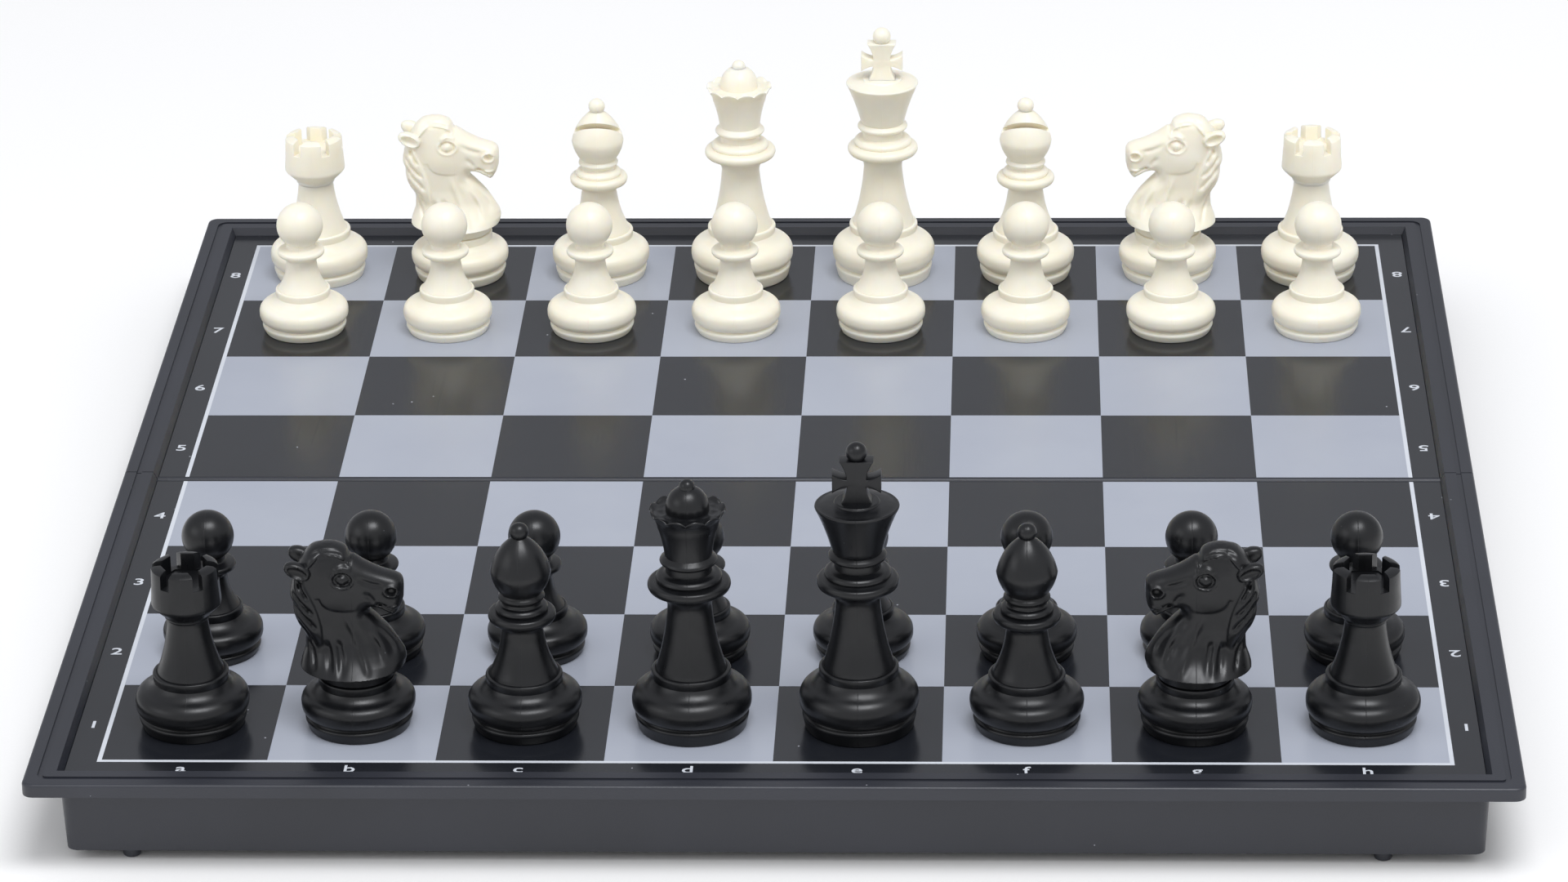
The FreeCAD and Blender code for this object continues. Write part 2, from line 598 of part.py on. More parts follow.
def pawn():
    """The pawn: a round head on a thin plate."""
    outline = draw_base(PAWN)
    draw_stem(outline, PAWN)
    outline.hollow(PAWN_PLATE_R - COLLAR_EDGE / 2, PAWN_PLATE_Z - COLLAR_EDGE / 2, COLLAR_EDGE / 2)
    outline.arc(PAWN_PLATE_R, PAWN_PLATE_Z, PAWN_PLATE_R - COLLAR_EDGE / 2, PAWN_PLATE_Z + COLLAR_EDGE / 2)
    outline.line(PAWN_HEAD_R / 2, PAWN_PLATE_Z + COLLAR_EDGE)
    neck_z = PAWN_HEIGHT - PAWN_HEAD_R
    outline.line(PAWN_HEAD_R / 2, neck_z)
    return with_foot(outline.solid().fuse(ball(PAWN_HEAD_R, PAWN_HEIGHT)), PAWN)


def knight_profile():
    """The horse's head and neck seen from the side, facing +X, as a smooth closed face."""
    head = KNIGHT_HEIGHT - KNIGHT_HEM_Z
    back = [(-12.0, 0), (-10.8, 0.14), (-10.8, 0.26), (-12.6, 0.38), (-13.4, 0.55), (-13.6, 0.71)]
    top = [(-12.4, 0.84), (-9.0, 0.96), (-4.5, 1.0), (-1.0, 0.96), (0.6, 0.89), (5.0, 0.8), (9.8, 0.73)]
    front = [(11.0, 0.62), (10.3, 0.5), (8.6, 0.42), (5.0, 0.47), (1.5, 0.47), (5.2, 0.37), (8.3, 0.24)]
    chest = [(10.6, 0.08), (10.3, 0)]
    points = [Vector(x, 0, KNIGHT_HEM_Z + share * head) for x, share in back + top + front + chest]
    curve = Part.BSplineCurve()
    curve.interpolate(points)
    hem = Part.LineSegment(points[-1], points[0])
    return Part.Face(Part.Wire([curve.toShape(), hem.toShape()]))


def knight_width():
    """What the head fills seen from the front: wide at the hem, narrow at the ears."""
    head = KNIGHT_HEIGHT - KNIGHT_HEM_Z
    side = [
        (KNIGHT_HEM_HALF_WIDTH, KNIGHT_HEM_Z - 1),
        (KNIGHT_NECK_HALF_WIDTH, KNIGHT_HEM_Z + KNIGHT_NECK_FROM * head),
        (KNIGHT_NECK_HALF_WIDTH, KNIGHT_HEM_Z + KNIGHT_NECK_TO * head),
        (KNIGHT_TOP_HALF_WIDTH, KNIGHT_HEIGHT + 1),
    ]
    points = [Vector(-PAST * 2, y, z) for y, z in side]
    points += [Vector(-PAST * 2, -y, z) for y, z in reversed(side)]
    return Part.Face(Part.makePolygon(points + points[:1])).extrude(Vector(PAST * 4, 0, 0))


def knight():
    """The knight, facing +X: a horse's head on the round base."""
    outline = draw_base(KNIGHT)
    outline.line(KNIGHT_SEAT_R, KNIGHT["collar_z"] + COLLAR_EDGE / 2)
    outline.line(KNIGHT_SEAT_R, KNIGHT_HEM_Z + COLLAR_EDGE)
    depth = 2 * KNIGHT_HEM_HALF_WIDTH
    head = knight_profile()
    head.translate(Vector(0, -depth / 2, 0))
    head = head.extrude(Vector(0, depth, 0)).common(knight_width())
    return with_foot(outline.solid().fuse(head), KNIGHT)


MAKERS = {"king": king, "queen": queen, "bishop": bishop, "rook": rook, "pawn": pawn, "knight": knight}


def place(shape, colour, file_index, rank_from_edge, turn):
    """Stands a copy of a man on its square, turned about its own axis."""
    rank_y = FIELD_FAR_Y - SQUARE * (rank_from_edge + 0.5)
    side = -1 if colour == "black" else 1
    man = shape.copy()
    man.rotate(Vector(0, 0, 0), Vector(0, 0, 1), turn)
    man.translate(Vector((file_index - (FILES - 1) / 2) * SQUARE, side * rank_y, PLAYING_Z))
    return man


def turn_of(kind, colour, file_index):
    """Knights look towards the middle of the board, the rest towards the other side."""
    if kind == "knight":
        return 0 if file_index < FILES / 2 else 180
    return 0 if colour == "black" else 180


def man_name(colour, kind, file_index):
    """One king and queen a side; the rest are told apart by their file."""
    if kind in ("king", "queen"):
        return colour + "_" + kind
    return colour + "_" + kind + "_" + FILE_LETTERS[file_index]


def men():
    """All 32 men by node name."""
    shapes = {kind: make() for kind, make in MAKERS.items()}
    placed = {}
    for colour in ("black", "white"):
        for index, kind in enumerate(BACK_RANK):
            turn = turn_of(kind, colour, index)
            placed[man_name(colour, kind, index)] = place(shapes[kind], colour, index, 0, turn)
            pawn_turn = turn_of("pawn", colour, index)
            placed[man_name(colour, "pawn", index)] = place(shapes["pawn"], colour, index, 1, pawn_turn)
    return placed


def case_parts():
    """Everything but the men: each piece of the front half, and the same turned half round."""
    front = {
        "tray": tray(),
        "steel_plate": steel_plate(),
        "playing_sheet": playing_sheet(),
        "hinge_pin": hinge_pin(),
        "snap_catch": snap_catch(),
    }
    parts = {}
    for name, shape in front.items():
        turned = shape.copy()
        turned.rotate(Vector(0, 0, 0), Vector(0, 0, 1), 180)
        parts["front_" + name] = shape
        parts["back_" + name] = turned
    return parts


def main():
    os.makedirs("parts", exist_ok=True)
    parts = case_parts()
    parts.update(men())
    for name, shape in parts.items():
        shape.exportStep("parts/" + name + ".step")
        solids = len(shape.Solids)
        print(name, solids, "solids", round(shape.Volume / 1000, 2), "cm3", "valid", shape.isValid())


main()
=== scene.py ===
# %% [markdown]
# # A folding magnetic chess set
# The set is a shallow plastic case that opens flat into a board, with 32 moulded men standing on it.
# The case, its hinges and the plates come ready made as a fixed frame, in metres, and nothing here moves
# them. This file gives them their finishes, prints the playing field on the sheet, and makes each man again
# with all of its turned detail, because a man is what the eye goes to first.

# %% Load the fixed frame
import math
import bmesh
import bpy
import numpy as np
import openvdb
from mathutils import Matrix, Vector


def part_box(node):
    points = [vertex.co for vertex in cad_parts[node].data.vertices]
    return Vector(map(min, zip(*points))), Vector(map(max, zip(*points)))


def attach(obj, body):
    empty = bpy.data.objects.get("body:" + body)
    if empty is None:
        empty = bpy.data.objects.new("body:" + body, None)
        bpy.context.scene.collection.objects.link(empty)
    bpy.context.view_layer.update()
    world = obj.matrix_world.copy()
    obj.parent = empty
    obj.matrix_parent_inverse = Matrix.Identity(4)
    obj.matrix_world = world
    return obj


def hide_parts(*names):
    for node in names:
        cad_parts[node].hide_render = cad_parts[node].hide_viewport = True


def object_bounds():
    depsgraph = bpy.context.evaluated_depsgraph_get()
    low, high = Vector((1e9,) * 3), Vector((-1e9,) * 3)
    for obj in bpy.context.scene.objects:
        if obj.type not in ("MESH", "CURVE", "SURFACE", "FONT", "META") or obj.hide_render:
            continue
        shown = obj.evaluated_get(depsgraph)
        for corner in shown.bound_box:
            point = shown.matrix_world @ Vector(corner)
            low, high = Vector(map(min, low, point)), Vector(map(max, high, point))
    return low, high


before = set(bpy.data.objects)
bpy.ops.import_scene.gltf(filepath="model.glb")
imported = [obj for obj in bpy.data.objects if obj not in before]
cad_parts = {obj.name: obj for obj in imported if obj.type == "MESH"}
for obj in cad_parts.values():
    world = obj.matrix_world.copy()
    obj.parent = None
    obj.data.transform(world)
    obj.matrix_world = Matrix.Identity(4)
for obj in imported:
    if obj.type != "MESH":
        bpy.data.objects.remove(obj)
cad_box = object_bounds()
MM = 0.001

# %% [markdown]
# Everything on the board is placed from the frame's own boxes: the middle of a rook's base gives a corner
# square, and the two rooks of one side are seven squares apart.

# %% Measure the board
def middle(node):
    low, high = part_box(node)
    return (Vector(low) + Vector(high)) / 2


FILES = "abcdefgh"
LEFT_ROOK = middle("black_rook_a")
RIGHT_ROOK = middle("black_rook_h")
SQUARE = (RIGHT_ROOK.x - LEFT_ROOK.x) / 7
PLAYING_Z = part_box("front_playing_sheet")[1][2]
FIELD_X = 4 * SQUARE
FIELD_FAR_Y = -LEFT_ROOK.y + SQUARE / 2
FIELD_NEAR_Y = FIELD_FAR_Y - 4 * SQUARE
print("square mm", round(SQUARE / MM, 2), "playing height mm", round(PLAYING_Z / MM, 2))
print("field from", round(FIELD_NEAR_Y / MM, 2), "to", round(FIELD_FAR_Y / MM, 2))

# %% [markdown]
# A colour is given as an sRGB hex value, but shaders work in linear light, so one function turns it.
# One more function adds a node to a material or a geometry tree, sets it up, and links what it is given.

# %% Colour and node helpers
def linear(hex_colour):
    values = [int(hex_colour[i:i + 2], 16) / 255 for i in (1, 3, 5)]
    return tuple(v / 12.92 if v <= 0.04045 else ((v + 0.055) / 1.055) ** 2.4 for v in values) + (1.0,)


def add(tree, kind, inputs=(), **settings):
    """Adds a node. Each input is (name or number, value), and a value that is a socket is linked."""
    node = tree.nodes.new(kind)
    for key, value in settings.items():
        setattr(node, key, value)
    for key, value in inputs:
        if isinstance(value, bpy.types.NodeSocket):
            tree.links.new(value, node.inputs[key])
        else:
            node.inputs[key].default_value = value
    return node


def new_material(name, **shader_values):
    """A material with one Principled shader, its constant values set on the shader itself."""
    material = bpy.data.materials.new(name)
    material.use_nodes = True
    shader = material.node_tree.nodes["Principled BSDF"]
    for key, value in shader_values.items():
        shader.inputs[key.replace("_", " ")].default_value = value
    return material, material.node_tree, shader


def ramp(tree, factor, low, high, colour_low, colour_high):
    """A colour ramp between two stops."""
    node = add(tree, "ShaderNodeValToRGB", [("Fac", factor)])
    stops = node.color_ramp.elements
    stops[0].position = low
    stops[0].color = colour_low
    stops[1].position = high
    stops[1].color = colour_high
    return node.outputs["Color"]


def grey(value):
    return (value, value, value, 1.0)


def mixed(tree, factor, colour, other):
    """One colour going over to another. The colour sockets of a Mix node are numbers 6 and 7, the result 2."""
    return add(tree, "ShaderNodeMix", [(0, factor), (6, colour), (7, other)], data_type="RGBA").outputs[2]


def noise(tree, where, size_mm, detail=3.0, roughness=0.55):
    """Noise whose blobs are about size_mm across."""
    inputs = [("Vector", where), ("Scale", 1 / (size_mm * MM)), ("Detail", detail), ("Roughness", roughness)]
    return add(tree, "ShaderNodeTexNoise", inputs).outputs["Fac"]


def bump(tree, height, depth_mm, strength=1.0):
    """Turns a height from 0 to 1 into a bump of a real depth."""
    return add(tree, "ShaderNodeBump", [("Height", height), ("Distance", depth_mm * MM), ("Strength", strength)])


print("charcoal is", [round(v, 4) for v in linear("#3b3c42")])

# %% [markdown]
# ## Case: moulded ABS
# The case is injection-moulded ABS. The mould was spark eroded, which leaves a fine, even grain that breaks
# up reflections, so the plastic looks satin rather than shiny. The grain is about 0.3 mm wide. Handling
# polishes and lightens it a little in broad patches, and a few specks of dust always lie on black plastic.

# %% Case material
def dust(tree, where, spacing_mm, share):
    """White where a speck of dust lies: small dots, kept only in a share of the cells."""
    cells = add(tree, "ShaderNodeTexVoronoi", [("Vector", where), ("Scale", 1 / (spacing_mm * MM))])
    near = add(tree, "ShaderNodeMath", [(0, cells.outputs["Distance"]), (1, 0.045)], operation="LESS_THAN")
    pick = add(tree, "ShaderNodeSeparateColor", [("Color", cells.outputs["Color"])])
    chosen = add(tree, "ShaderNodeMath", [(0, pick.outputs["Red"]), (1, share)], operation="LESS_THAN")
    both = add(tree, "ShaderNodeMath", [(0, near.outputs[0]), (1, chosen.outputs[0])], operation="MULTIPLY")
    return both.outputs[0]


def make_case_abs():
    material, tree, shader = new_material("case_abs_spark_eroded", IOR=1.53)
    where = add(tree, "ShaderNodeTexCoord").outputs["Object"]
    patches = noise(tree, where, 35, 2.0)
    grain = noise(tree, where, 0.32, 2.0, 0.7)
    base = ramp(tree, patches, 0.35, 0.7, linear("#26282f"), linear("#2c2e36"))
    dusty = mixed(tree, dust(tree, where, 4.0, 0.10), base, linear("#8d8f96"))
    tree.links.new(dusty, shader.inputs["Base Color"])
    polish = add(tree, "ShaderNodeMapRange", [("Value", patches), ("To Min", 0.36), ("To Max", 0.46)])
    tree.links.new(polish.outputs["Result"], shader.inputs["Roughness"])
    tree.links.new(bump(tree, grain, 0.03).outputs["Normal"], shader.inputs["Normal"])
    return material


case_abs = make_case_abs()
print("made", case_abs.name)

# %% [markdown]
# ## Plates, sheet and ink
# Under the field lies a thin steel plate, and on it a satin vinyl sheet in charcoal. The light squares, the
# border line and the letters are screen printed on the sheet. The vinyl has a faint pebble from the film,
# fine handling scratches and dust; the ink lies flatter and is a little smoother.

# %% Sheet, ink and metal materials
def scratches(tree, where, turn, spacing_mm):
    """Thin broken lines along one direction, brightest in the middle of each."""
    inputs = [("Vector", where), ("Rotation", (0, 0, math.radians(turn))), ("Scale", (1, 0.03, 1))]
    turned = add(tree, "ShaderNodeMapping", inputs).outputs["Vector"]
    lines = noise(tree, turned, spacing_mm, 1.0)
    return ramp(tree, lines, 0.66, 0.74, grey(0.0), grey(1.0))


def make_vinyl(name, colour, colour_worn, rough_low, rough_high, dust_share):
    material, tree, shader = new_material(name, IOR=1.5)
    where = add(tree, "ShaderNodeTexCoord").outputs["Object"]
    patches = noise(tree, where, 28, 3.0)
    base = ramp(tree, patches, 0.3, 0.7, linear(colour), linear(colour_worn))
    dusty = mixed(tree, dust(tree, where, 5.0, dust_share), base, linear("#a9abb2"))
    tree.links.new(dusty, shader.inputs["Base Color"])
    worn = scratches(tree, where, 31, 1.6)
    level = add(tree, "ShaderNodeMath", [(0, patches), (1, worn), (2, 0.0)], operation="MULTIPLY_ADD")
    rough = add(tree, "ShaderNodeMapRange", [("Value", level.outputs[0]), ("To Min", rough_low),
                                             ("To Max", rough_high)])
    tree.links.new(rough.outputs["Result"], shader.inputs["Roughness"])
    pebble = noise(tree, where, 0.45, 1.0)
    tree.links.new(bump(tree, pebble, 0.006).outputs["Normal"], shader.inputs["Normal"])
    return material


def make_ground_steel(name, colour, rough):
    """Rolled or drawn steel: bright, with fine lines along X."""
    material, tree, shader = new_material(name, Metallic=1.0)
    where = add(tree, "ShaderNodeTexCoord").outputs["Object"]
    stretched = add(tree, "ShaderNodeMapping", [("Vector", where), ("Scale", (0.02, 1, 1))]).outputs["Vector"]
    lines = noise(tree, stretched, 0.12, 2.0)
    base = ramp(tree, lines, 0.3, 0.7, linear(colour), linear("#c9cbcf"))
    tree.links.new(base, shader.inputs["Base Color"])
    level = add(tree, "ShaderNodeMapRange", [("Value", lines), ("To Min", rough), ("To Max", rough + 0.15)])
    tree.links.new(level.outputs["Result"], shader.inputs["Roughness"])
    tree.links.new(bump(tree, lines, 0.004).outputs["Normal"], shader.inputs["Normal"])
    return material


dark_vinyl = make_vinyl("sheet_vinyl_charcoal", "#1c1e23", "#202227", 0.20, 0.27, 0.16)
light_ink = make_vinyl("ink_blue_grey", "#a6abb7", "#abb0bb", 0.28, 0.33, 0.05)
pale_ink = make_vinyl("ink_pale_grey", "#cfd3da", "#d6dae0", 0.36, 0.44, 0.02)
pin_steel = make_ground_steel("pin_drawn_steel", "#a7a9ad", 0.25)
plate_steel = make_ground_steel("plate_rolled_steel", "#96989c", 0.35)
print("made", dark_vinyl.name, light_ink.name, pale_ink.name)

# %% [markdown]
# ## Men: moulded polystyrene
# The men are moulded in solid colour. Black polystyrene straight from a polished mould has a soft gloss: the
# broad highlights stay sharp in the middle and spread at their edges, because the surface is very slightly
# uneven, like calm water. The ivory lets a little light in, which warms its shadows, so it gets some
# subsurface scattering. Where the two mould halves met, a hair-thin seam runs up the front and back.
# The seam is found from an attribute that holds each point's place measured from the man's own axis.

# %% Men's materials
def own_place(tree):
    """A point's place from the man's own axis, in metres, however the man stands on the board."""
    return add(tree, "ShaderNodeAttribute", attribute_name="own_place").outputs["Vector"]


def seam(tree, place):
    """1 on the parting line, where the man's own X is nearly 0, and 0 away from it."""
    parts = add(tree, "ShaderNodeSeparateXYZ", [("Vector", place)])
    away = add(tree, "ShaderNodeMath", [(0, parts.outputs["X"])], operation="ABSOLUTE")
    line = add(tree, "ShaderNodeMapRange", [("Value", away.outputs[0]), ("From Min", 0.0), ("From Max", 0.12 * MM),
                                            ("To Min", 1.0), ("To Max", 0.0)], interpolation_type="SMOOTHSTEP")
    return line.outputs["Result"]


def make_men_plastic(name, colour, colour_deep, rough_low, rough_high, dust_share, dust_colour, **values):
    material, tree, shader = new_material(name, **values)
    where = add(tree, "ShaderNodeTexCoord").outputs["Object"]
    place = own_place(tree)
    flow = noise(tree, where, 6.0, 2.0)
    base = ramp(tree, flow, 0.3, 0.7, linear(colour), linear(colour_deep))
    dusty = mixed(tree, dust(tree, where, 1.7, dust_share), base, linear(dust_colour))
    tree.links.new(dusty, shader.inputs["Base Color"])
    rub = noise(tree, where, 2.5, 4.0, 0.65)
    rough = add(tree, "ShaderNodeMapRange", [("Value", rub), ("From Min", 0.3), ("From Max", 0.7),
                                             ("To Min", rough_low), ("To Max", rough_high)])
    tree.links.new(rough.outputs["Result"], shader.inputs["Roughness"])
    skin = bump(tree, noise(tree, where, 0.5, 2.0), 0.004)
    sink = add(tree, "ShaderNodeBump", [("Height", seam(tree, place)), ("Distance", 0.03 * MM),
                                        ("Normal", skin.outputs["Normal"])])
    tree.links.new(sink.outputs["Normal"], shader.inputs["Normal"])
    return material


black_plastic = make_men_plastic("men_polystyrene_black", "#0a0b0d", "#0e0f12", 0.27, 0.38, 0.05, "#6d6f75",
                                 IOR=1.55, Specular_IOR_Level=0.36)
ivory_plastic = make_men_plastic("men_polystyrene_ivory", "#f5eeda", "#f7f1e1", 0.34, 0.46, 0.0, "#d9d2c0",
                                 IOR=1.55, Subsurface_Weight=0.5, Subsurface_Scale=0.0022,
                                 Subsurface_Radius=(1.0, 0.8, 0.5))
MEN_PLASTIC = {"black": black_plastic, "white": ivory_plastic}
print("made", black_plastic.name, ivory_plastic.name)

# %% [markdown]
# Each CAD node keeps its mesh and takes a finish. Only the slots change.

# %% Finish the case
CASE_FINISH = {
    "tray": case_abs,
    "snap_catch": case_abs,
    "steel_plate": plate_steel,
    "playing_sheet": dark_vinyl,
    "hinge_pin": pin_steel,
}


def finish_node(node, material):
    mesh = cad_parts[node].data
    mesh.materials.clear()
    mesh.materials.append(material)


for half in ("front", "back"):
    for part, material in CASE_FINISH.items():
        finish_node(half + "_" + part, material)
print("finished", 2 * len(CASE_FINISH), "nodes")

# %% [markdown]
# ## Light squares
# A real board is printed: one pass of blue-grey ink lays every light square at once. Thirty-two copies of one
# tile is just what Geometry Nodes are for. The tree makes a grid of points one square apart, keeps every
# second one, and puts a thin tile of ink on each. Each half of the board is its own piece, because the halves
# fold apart.

# %% Light squares
INK = 0.03 * MM


def tree_with_inputs(name, inputs):
    """A new geometry tree with named number inputs, and its input and output nodes."""
    tree = bpy.data.node_groups.new(name, "GeometryNodeTree")
    tree.interface.new_socket("Geometry", in_out="OUTPUT", socket_type="NodeSocketGeometry")
    for label, kind in inputs:
        tree.interface.new_socket(label, in_out="INPUT", socket_type=kind)
    return tree, tree.nodes.new("NodeGroupInput"), tree.nodes.new("NodeGroupOutput")


def finish_tree(tree, geometry, material, output):
    """Every tree ends in Realize Instances and Set Material."""
    real = add(tree, "GeometryNodeRealizeInstances", [("Geometry", geometry)])
    painted = add(tree, "GeometryNodeSetMaterial", [("Geometry", real.outputs[0]), ("Material", material)])
    tree.links.new(painted.outputs[0], output.inputs[0])


def run_tree(name, tree, values):
    """Runs a geometry tree on an empty mesh and returns the result as a plain mesh object."""
    holder = bpy.data.objects.new(name, bpy.data.meshes.new(name))
    bpy.context.collection.objects.link(holder)
    modifier = holder.modifiers.new("made_by", "NODES")
    modifier.node_group = tree
    for item in tree.interface.items_tree:
        if item.in_out == "INPUT" and item.name in values:
            modifier[item.identifier] = values[item.name]
    bpy.context.view_layer.update()
    shown = holder.evaluated_get(bpy.context.evaluated_depsgraph_get())
    mesh = bpy.data.meshes.new_from_object(shown)
    holder.modifiers.clear()
    holder.data = mesh
    mesh.name = name
    return holder


def squares_tree():
    tree, given, output = tree_with_inputs("Light squares", [
        ("Square", "NodeSocketFloat"), ("Ink", "NodeSocketFloat"), ("Middle", "NodeSocketVector"),
        ("First", "NodeSocketInt"), ("Printed", "NodeSocketMaterial")])
    square = given.outputs["Square"]
    files = add(tree, "ShaderNodeMath", [(0, square), (1, 7.0)], operation="MULTIPLY")
    ranks = add(tree, "ShaderNodeMath", [(0, square), (1, 3.0)], operation="MULTIPLY")
    grid = add(tree, "GeometryNodeMeshGrid", [("Size X", files.outputs[0]), ("Size Y", ranks.outputs[0]),
                                              ("Vertices X", 8), ("Vertices Y", 4)])
    place = add(tree, "GeometryNodeInputPosition")
    cells = add(tree, "ShaderNodeVectorMath", [(0, place.outputs[0]), (1, square)], operation="DIVIDE")
    whole = add(tree, "ShaderNodeVectorMath", [(0, cells.outputs[0])], operation="FLOOR")
    parts = add(tree, "ShaderNodeSeparateXYZ", [(0, whole.outputs[0])])
    both = add(tree, "ShaderNodeMath", [(0, parts.outputs[0]), (1, parts.outputs[1])], operation="ADD")
    count = add(tree, "ShaderNodeMath", [(0, both.outputs[0]), (1, given.outputs["First"])], operation="ADD")
    odd = add(tree, "ShaderNodeMath", [(0, count.outputs[0]), (1, 2.0)], operation="FLOORED_MODULO")
    keep = add(tree, "ShaderNodeMath", [(0, odd.outputs[0]), (1, 0.5)], operation="GREATER_THAN")
    size = add(tree, "ShaderNodeCombineXYZ", [(0, square), (1, square), (2, given.outputs["Ink"])])
    tile = add(tree, "GeometryNodeMeshCube", [("Size", size.outputs[0])])
    laid = add(tree, "GeometryNodeInstanceOnPoints", [("Points", grid.outputs[0]), ("Selection", keep.outputs[0]),
                                                      ("Instance", tile.outputs[0])])
    moved = add(tree, "GeometryNodeTransform", [(0, laid.outputs[0]), ("Translation", given.outputs["Middle"])])
    finish_tree(tree, moved.outputs[0], given.outputs["Printed"], output)
    return tree


light_squares = squares_tree()
print("tree", light_squares.name, "has", len(light_squares.nodes), "nodes")

# %% Lay the squares
def lay_squares(half, side):
    middle_y = side * (FIELD_NEAR_Y + FIELD_FAR_Y) / 2
    piece = run_tree(half + "_light_squares", light_squares, {
        "Square": SQUARE, "Ink": INK, "Middle": (0.0, middle_y, PLAYING_Z + INK / 2), "First": 0,
        "Printed": light_ink})
    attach(piece, half + "_half")
    return piece


for half, side in (("front", -1), ("back", 1)):
    laid = lay_squares(half, side)
    print(laid.name, "has", len(laid.data.polygons), "faces")

# %% [markdown]
# ## Border line and lettering
# A pale line frames the field on its three outer sides of each half. Digits name the ranks on both sides, and
# small letters name the files along the front edge. Both are ink, so they are built flat and given the ink's thickness. The letters come from text
# objects: text is the one thing that is best left to a font. They are made a mesh before they are placed.

# %% Border line
LINE_WIDTH = 0.95 * MM
LINE_INK = 1.4 * INK


def mesh_piece(name, vertices, faces, material, smooth=False):
    """A new object from points and faces, with one material and its faces pointing outwards."""
    mesh = bpy.data.meshes.new(name)
    mesh.from_pydata([tuple(v) for v in vertices], [], faces)
    shape = bmesh.new()
    shape.from_mesh(mesh)
    bmesh.ops.remove_doubles(shape, verts=shape.verts, dist=1e-7)
    bmesh.ops.recalc_face_normals(shape, faces=shape.faces)
    shape.to_mesh(mesh)
    shape.free()
    mesh.materials.append(material)
    mesh.polygons.foreach_set("use_smooth", [smooth] * len(mesh.polygons))
    piece = bpy.data.objects.new(name, mesh)
    bpy.context.collection.objects.link(piece)
    return piece


def border_line(half, side):
    """A U of ink round the three outer sides of one half, as one closed solid."""
    x_in, x_out = FIELD_X - LINE_WIDTH / 2, FIELD_X + LINE_WIDTH / 2
    near = side * FIELD_NEAR_Y
    far, far_out = side * FIELD_FAR_Y, side * (FIELD_FAR_Y + LINE_WIDTH)
    flat = [(-x_out, near), (-x_in, near), (-x_in, far), (x_in, far), (x_in, near), (x_out, near),
            (x_out, far_out), (-x_out, far_out)]
    low = [(x, y, PLAYING_Z) for x, y in flat]
    high = [(x, y, PLAYING_Z + LINE_INK) for x, y in flat]
    faces = []
    for quad in ((0, 1, 2, 7), (2, 3, 6, 7), (3, 4, 5, 6)):
        faces.append(quad)
        faces.append(tuple(i + 8 for i in quad))
    for i in range(8):
        j = (i + 1) % 8
        faces.append((i, j, j + 8, i + 8))
    piece = mesh_piece(half + "_border_line", low + high, faces, pale_ink)
    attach(piece, half + "_half")
    return piece


for half, side in (("front", -1), ("back", 1)):
    print(border_line(half, side).name)

# %% Lettering
DIGIT_HEIGHT = 3.2 * MM
DIGIT_DROP = 1.2 * MM       # the digits stand a little nearer than the middle of their rank
LETTER_HEIGHT = 3.1 * MM
DIGIT_X_LEFT = -4.10 * SQUARE
DIGIT_X_RIGHT = 4.115 * SQUARE
LETTER_Y = FIELD_FAR_Y + 3.75 * MM

CAP_SHARE = 0.7     # height of a capital, as a share of the font's size
BOLDER = 0.015
WIDER = 1.2


def ink_text(text, height, x, y, turn):
    """One character as flat vertices and faces. Its width is centred on x and its middle band on y."""
    curve = bpy.data.curves.new("character", "FONT")
    curve.body = text
    curve.size = height / CAP_SHARE
    curve.align_x = "CENTER"
    curve.extrude = INK / 2
    curve.offset = BOLDER * height
    holder = bpy.data.objects.new("character", curve)
    bpy.context.collection.objects.link(holder)
    bpy.context.view_layer.update()
    mesh = bpy.data.meshes.new_from_object(holder.evaluated_get(bpy.context.evaluated_depsgraph_get()))
    points = np.array([v.co for v in mesh.vertices])
    faces = [tuple(p.vertices) for p in mesh.polygons]
    bpy.data.objects.remove(holder)
    bpy.data.curves.remove(curve)
    bpy.data.meshes.remove(mesh)
    centre = (points[:, 0].min() + points[:, 0].max()) / 2
    points = (points - (centre, height / 2, 0)) * (WIDER, 1.0, 1.0)
    c, s = math.cos(math.radians(turn)), math.sin(math.radians(turn))
    turned = np.stack([points[:, 0] * c - points[:, 1] * s, points[:, 0] * s + points[:, 1] * c, points[:, 2]], 1)
    return turned + (x, y, PLAYING_Z + INK / 2), faces


def lettering(half, side):
    """All digits and letters of one half as one piece."""
    marks = []
    for rank in range(4):
        number = 4 - rank if side < 0 else 5 + rank
        y = side * (FIELD_NEAR_Y + (rank + 0.5) * SQUARE) - DIGIT_DROP
        marks.append((str(number), DIGIT_X_LEFT, y, 0))
        marks.append((str(number), DIGIT_X_RIGHT, y, 180))
    vertices, faces = [], []
    if side < 0:
        marks += [(letter, (index - 3.5) * SQUARE, -LETTER_Y, 0) for index, letter in enumerate(FILES)]
    for text, x, y, turn in marks:
        points, polygons = ink_text(text, LETTER_HEIGHT if text in FILES else DIGIT_HEIGHT, x, y, turn)
        faces += [tuple(i + len(vertices) for i in p) for p in polygons]
        vertices += list(points)
    piece = mesh_piece(half + "_lettering", vertices, faces, pale_ink)
    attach(piece, half + "_half")
    return piece


for half, side in (("front", -1), ("back", 1)):
    print(lettering(half, side).name)

# %% [markdown]
# ## The lathe
# A king, queen, bishop, rook and pawn are turned shapes: one half outline spun about the man's axis. The
# outline is drawn from named sizes with straight lines and bows. The lathe itself is a Geometry Nodes tree.
# It makes a flat grid with one row for each outline point and one column for each step round, then sets each
# grid point's place: the row gives radius and height, the column gives the angle. Merging by distance closes
# the seam and the poles.

# %% Outline and lathe
STEPS_ROUND = 96


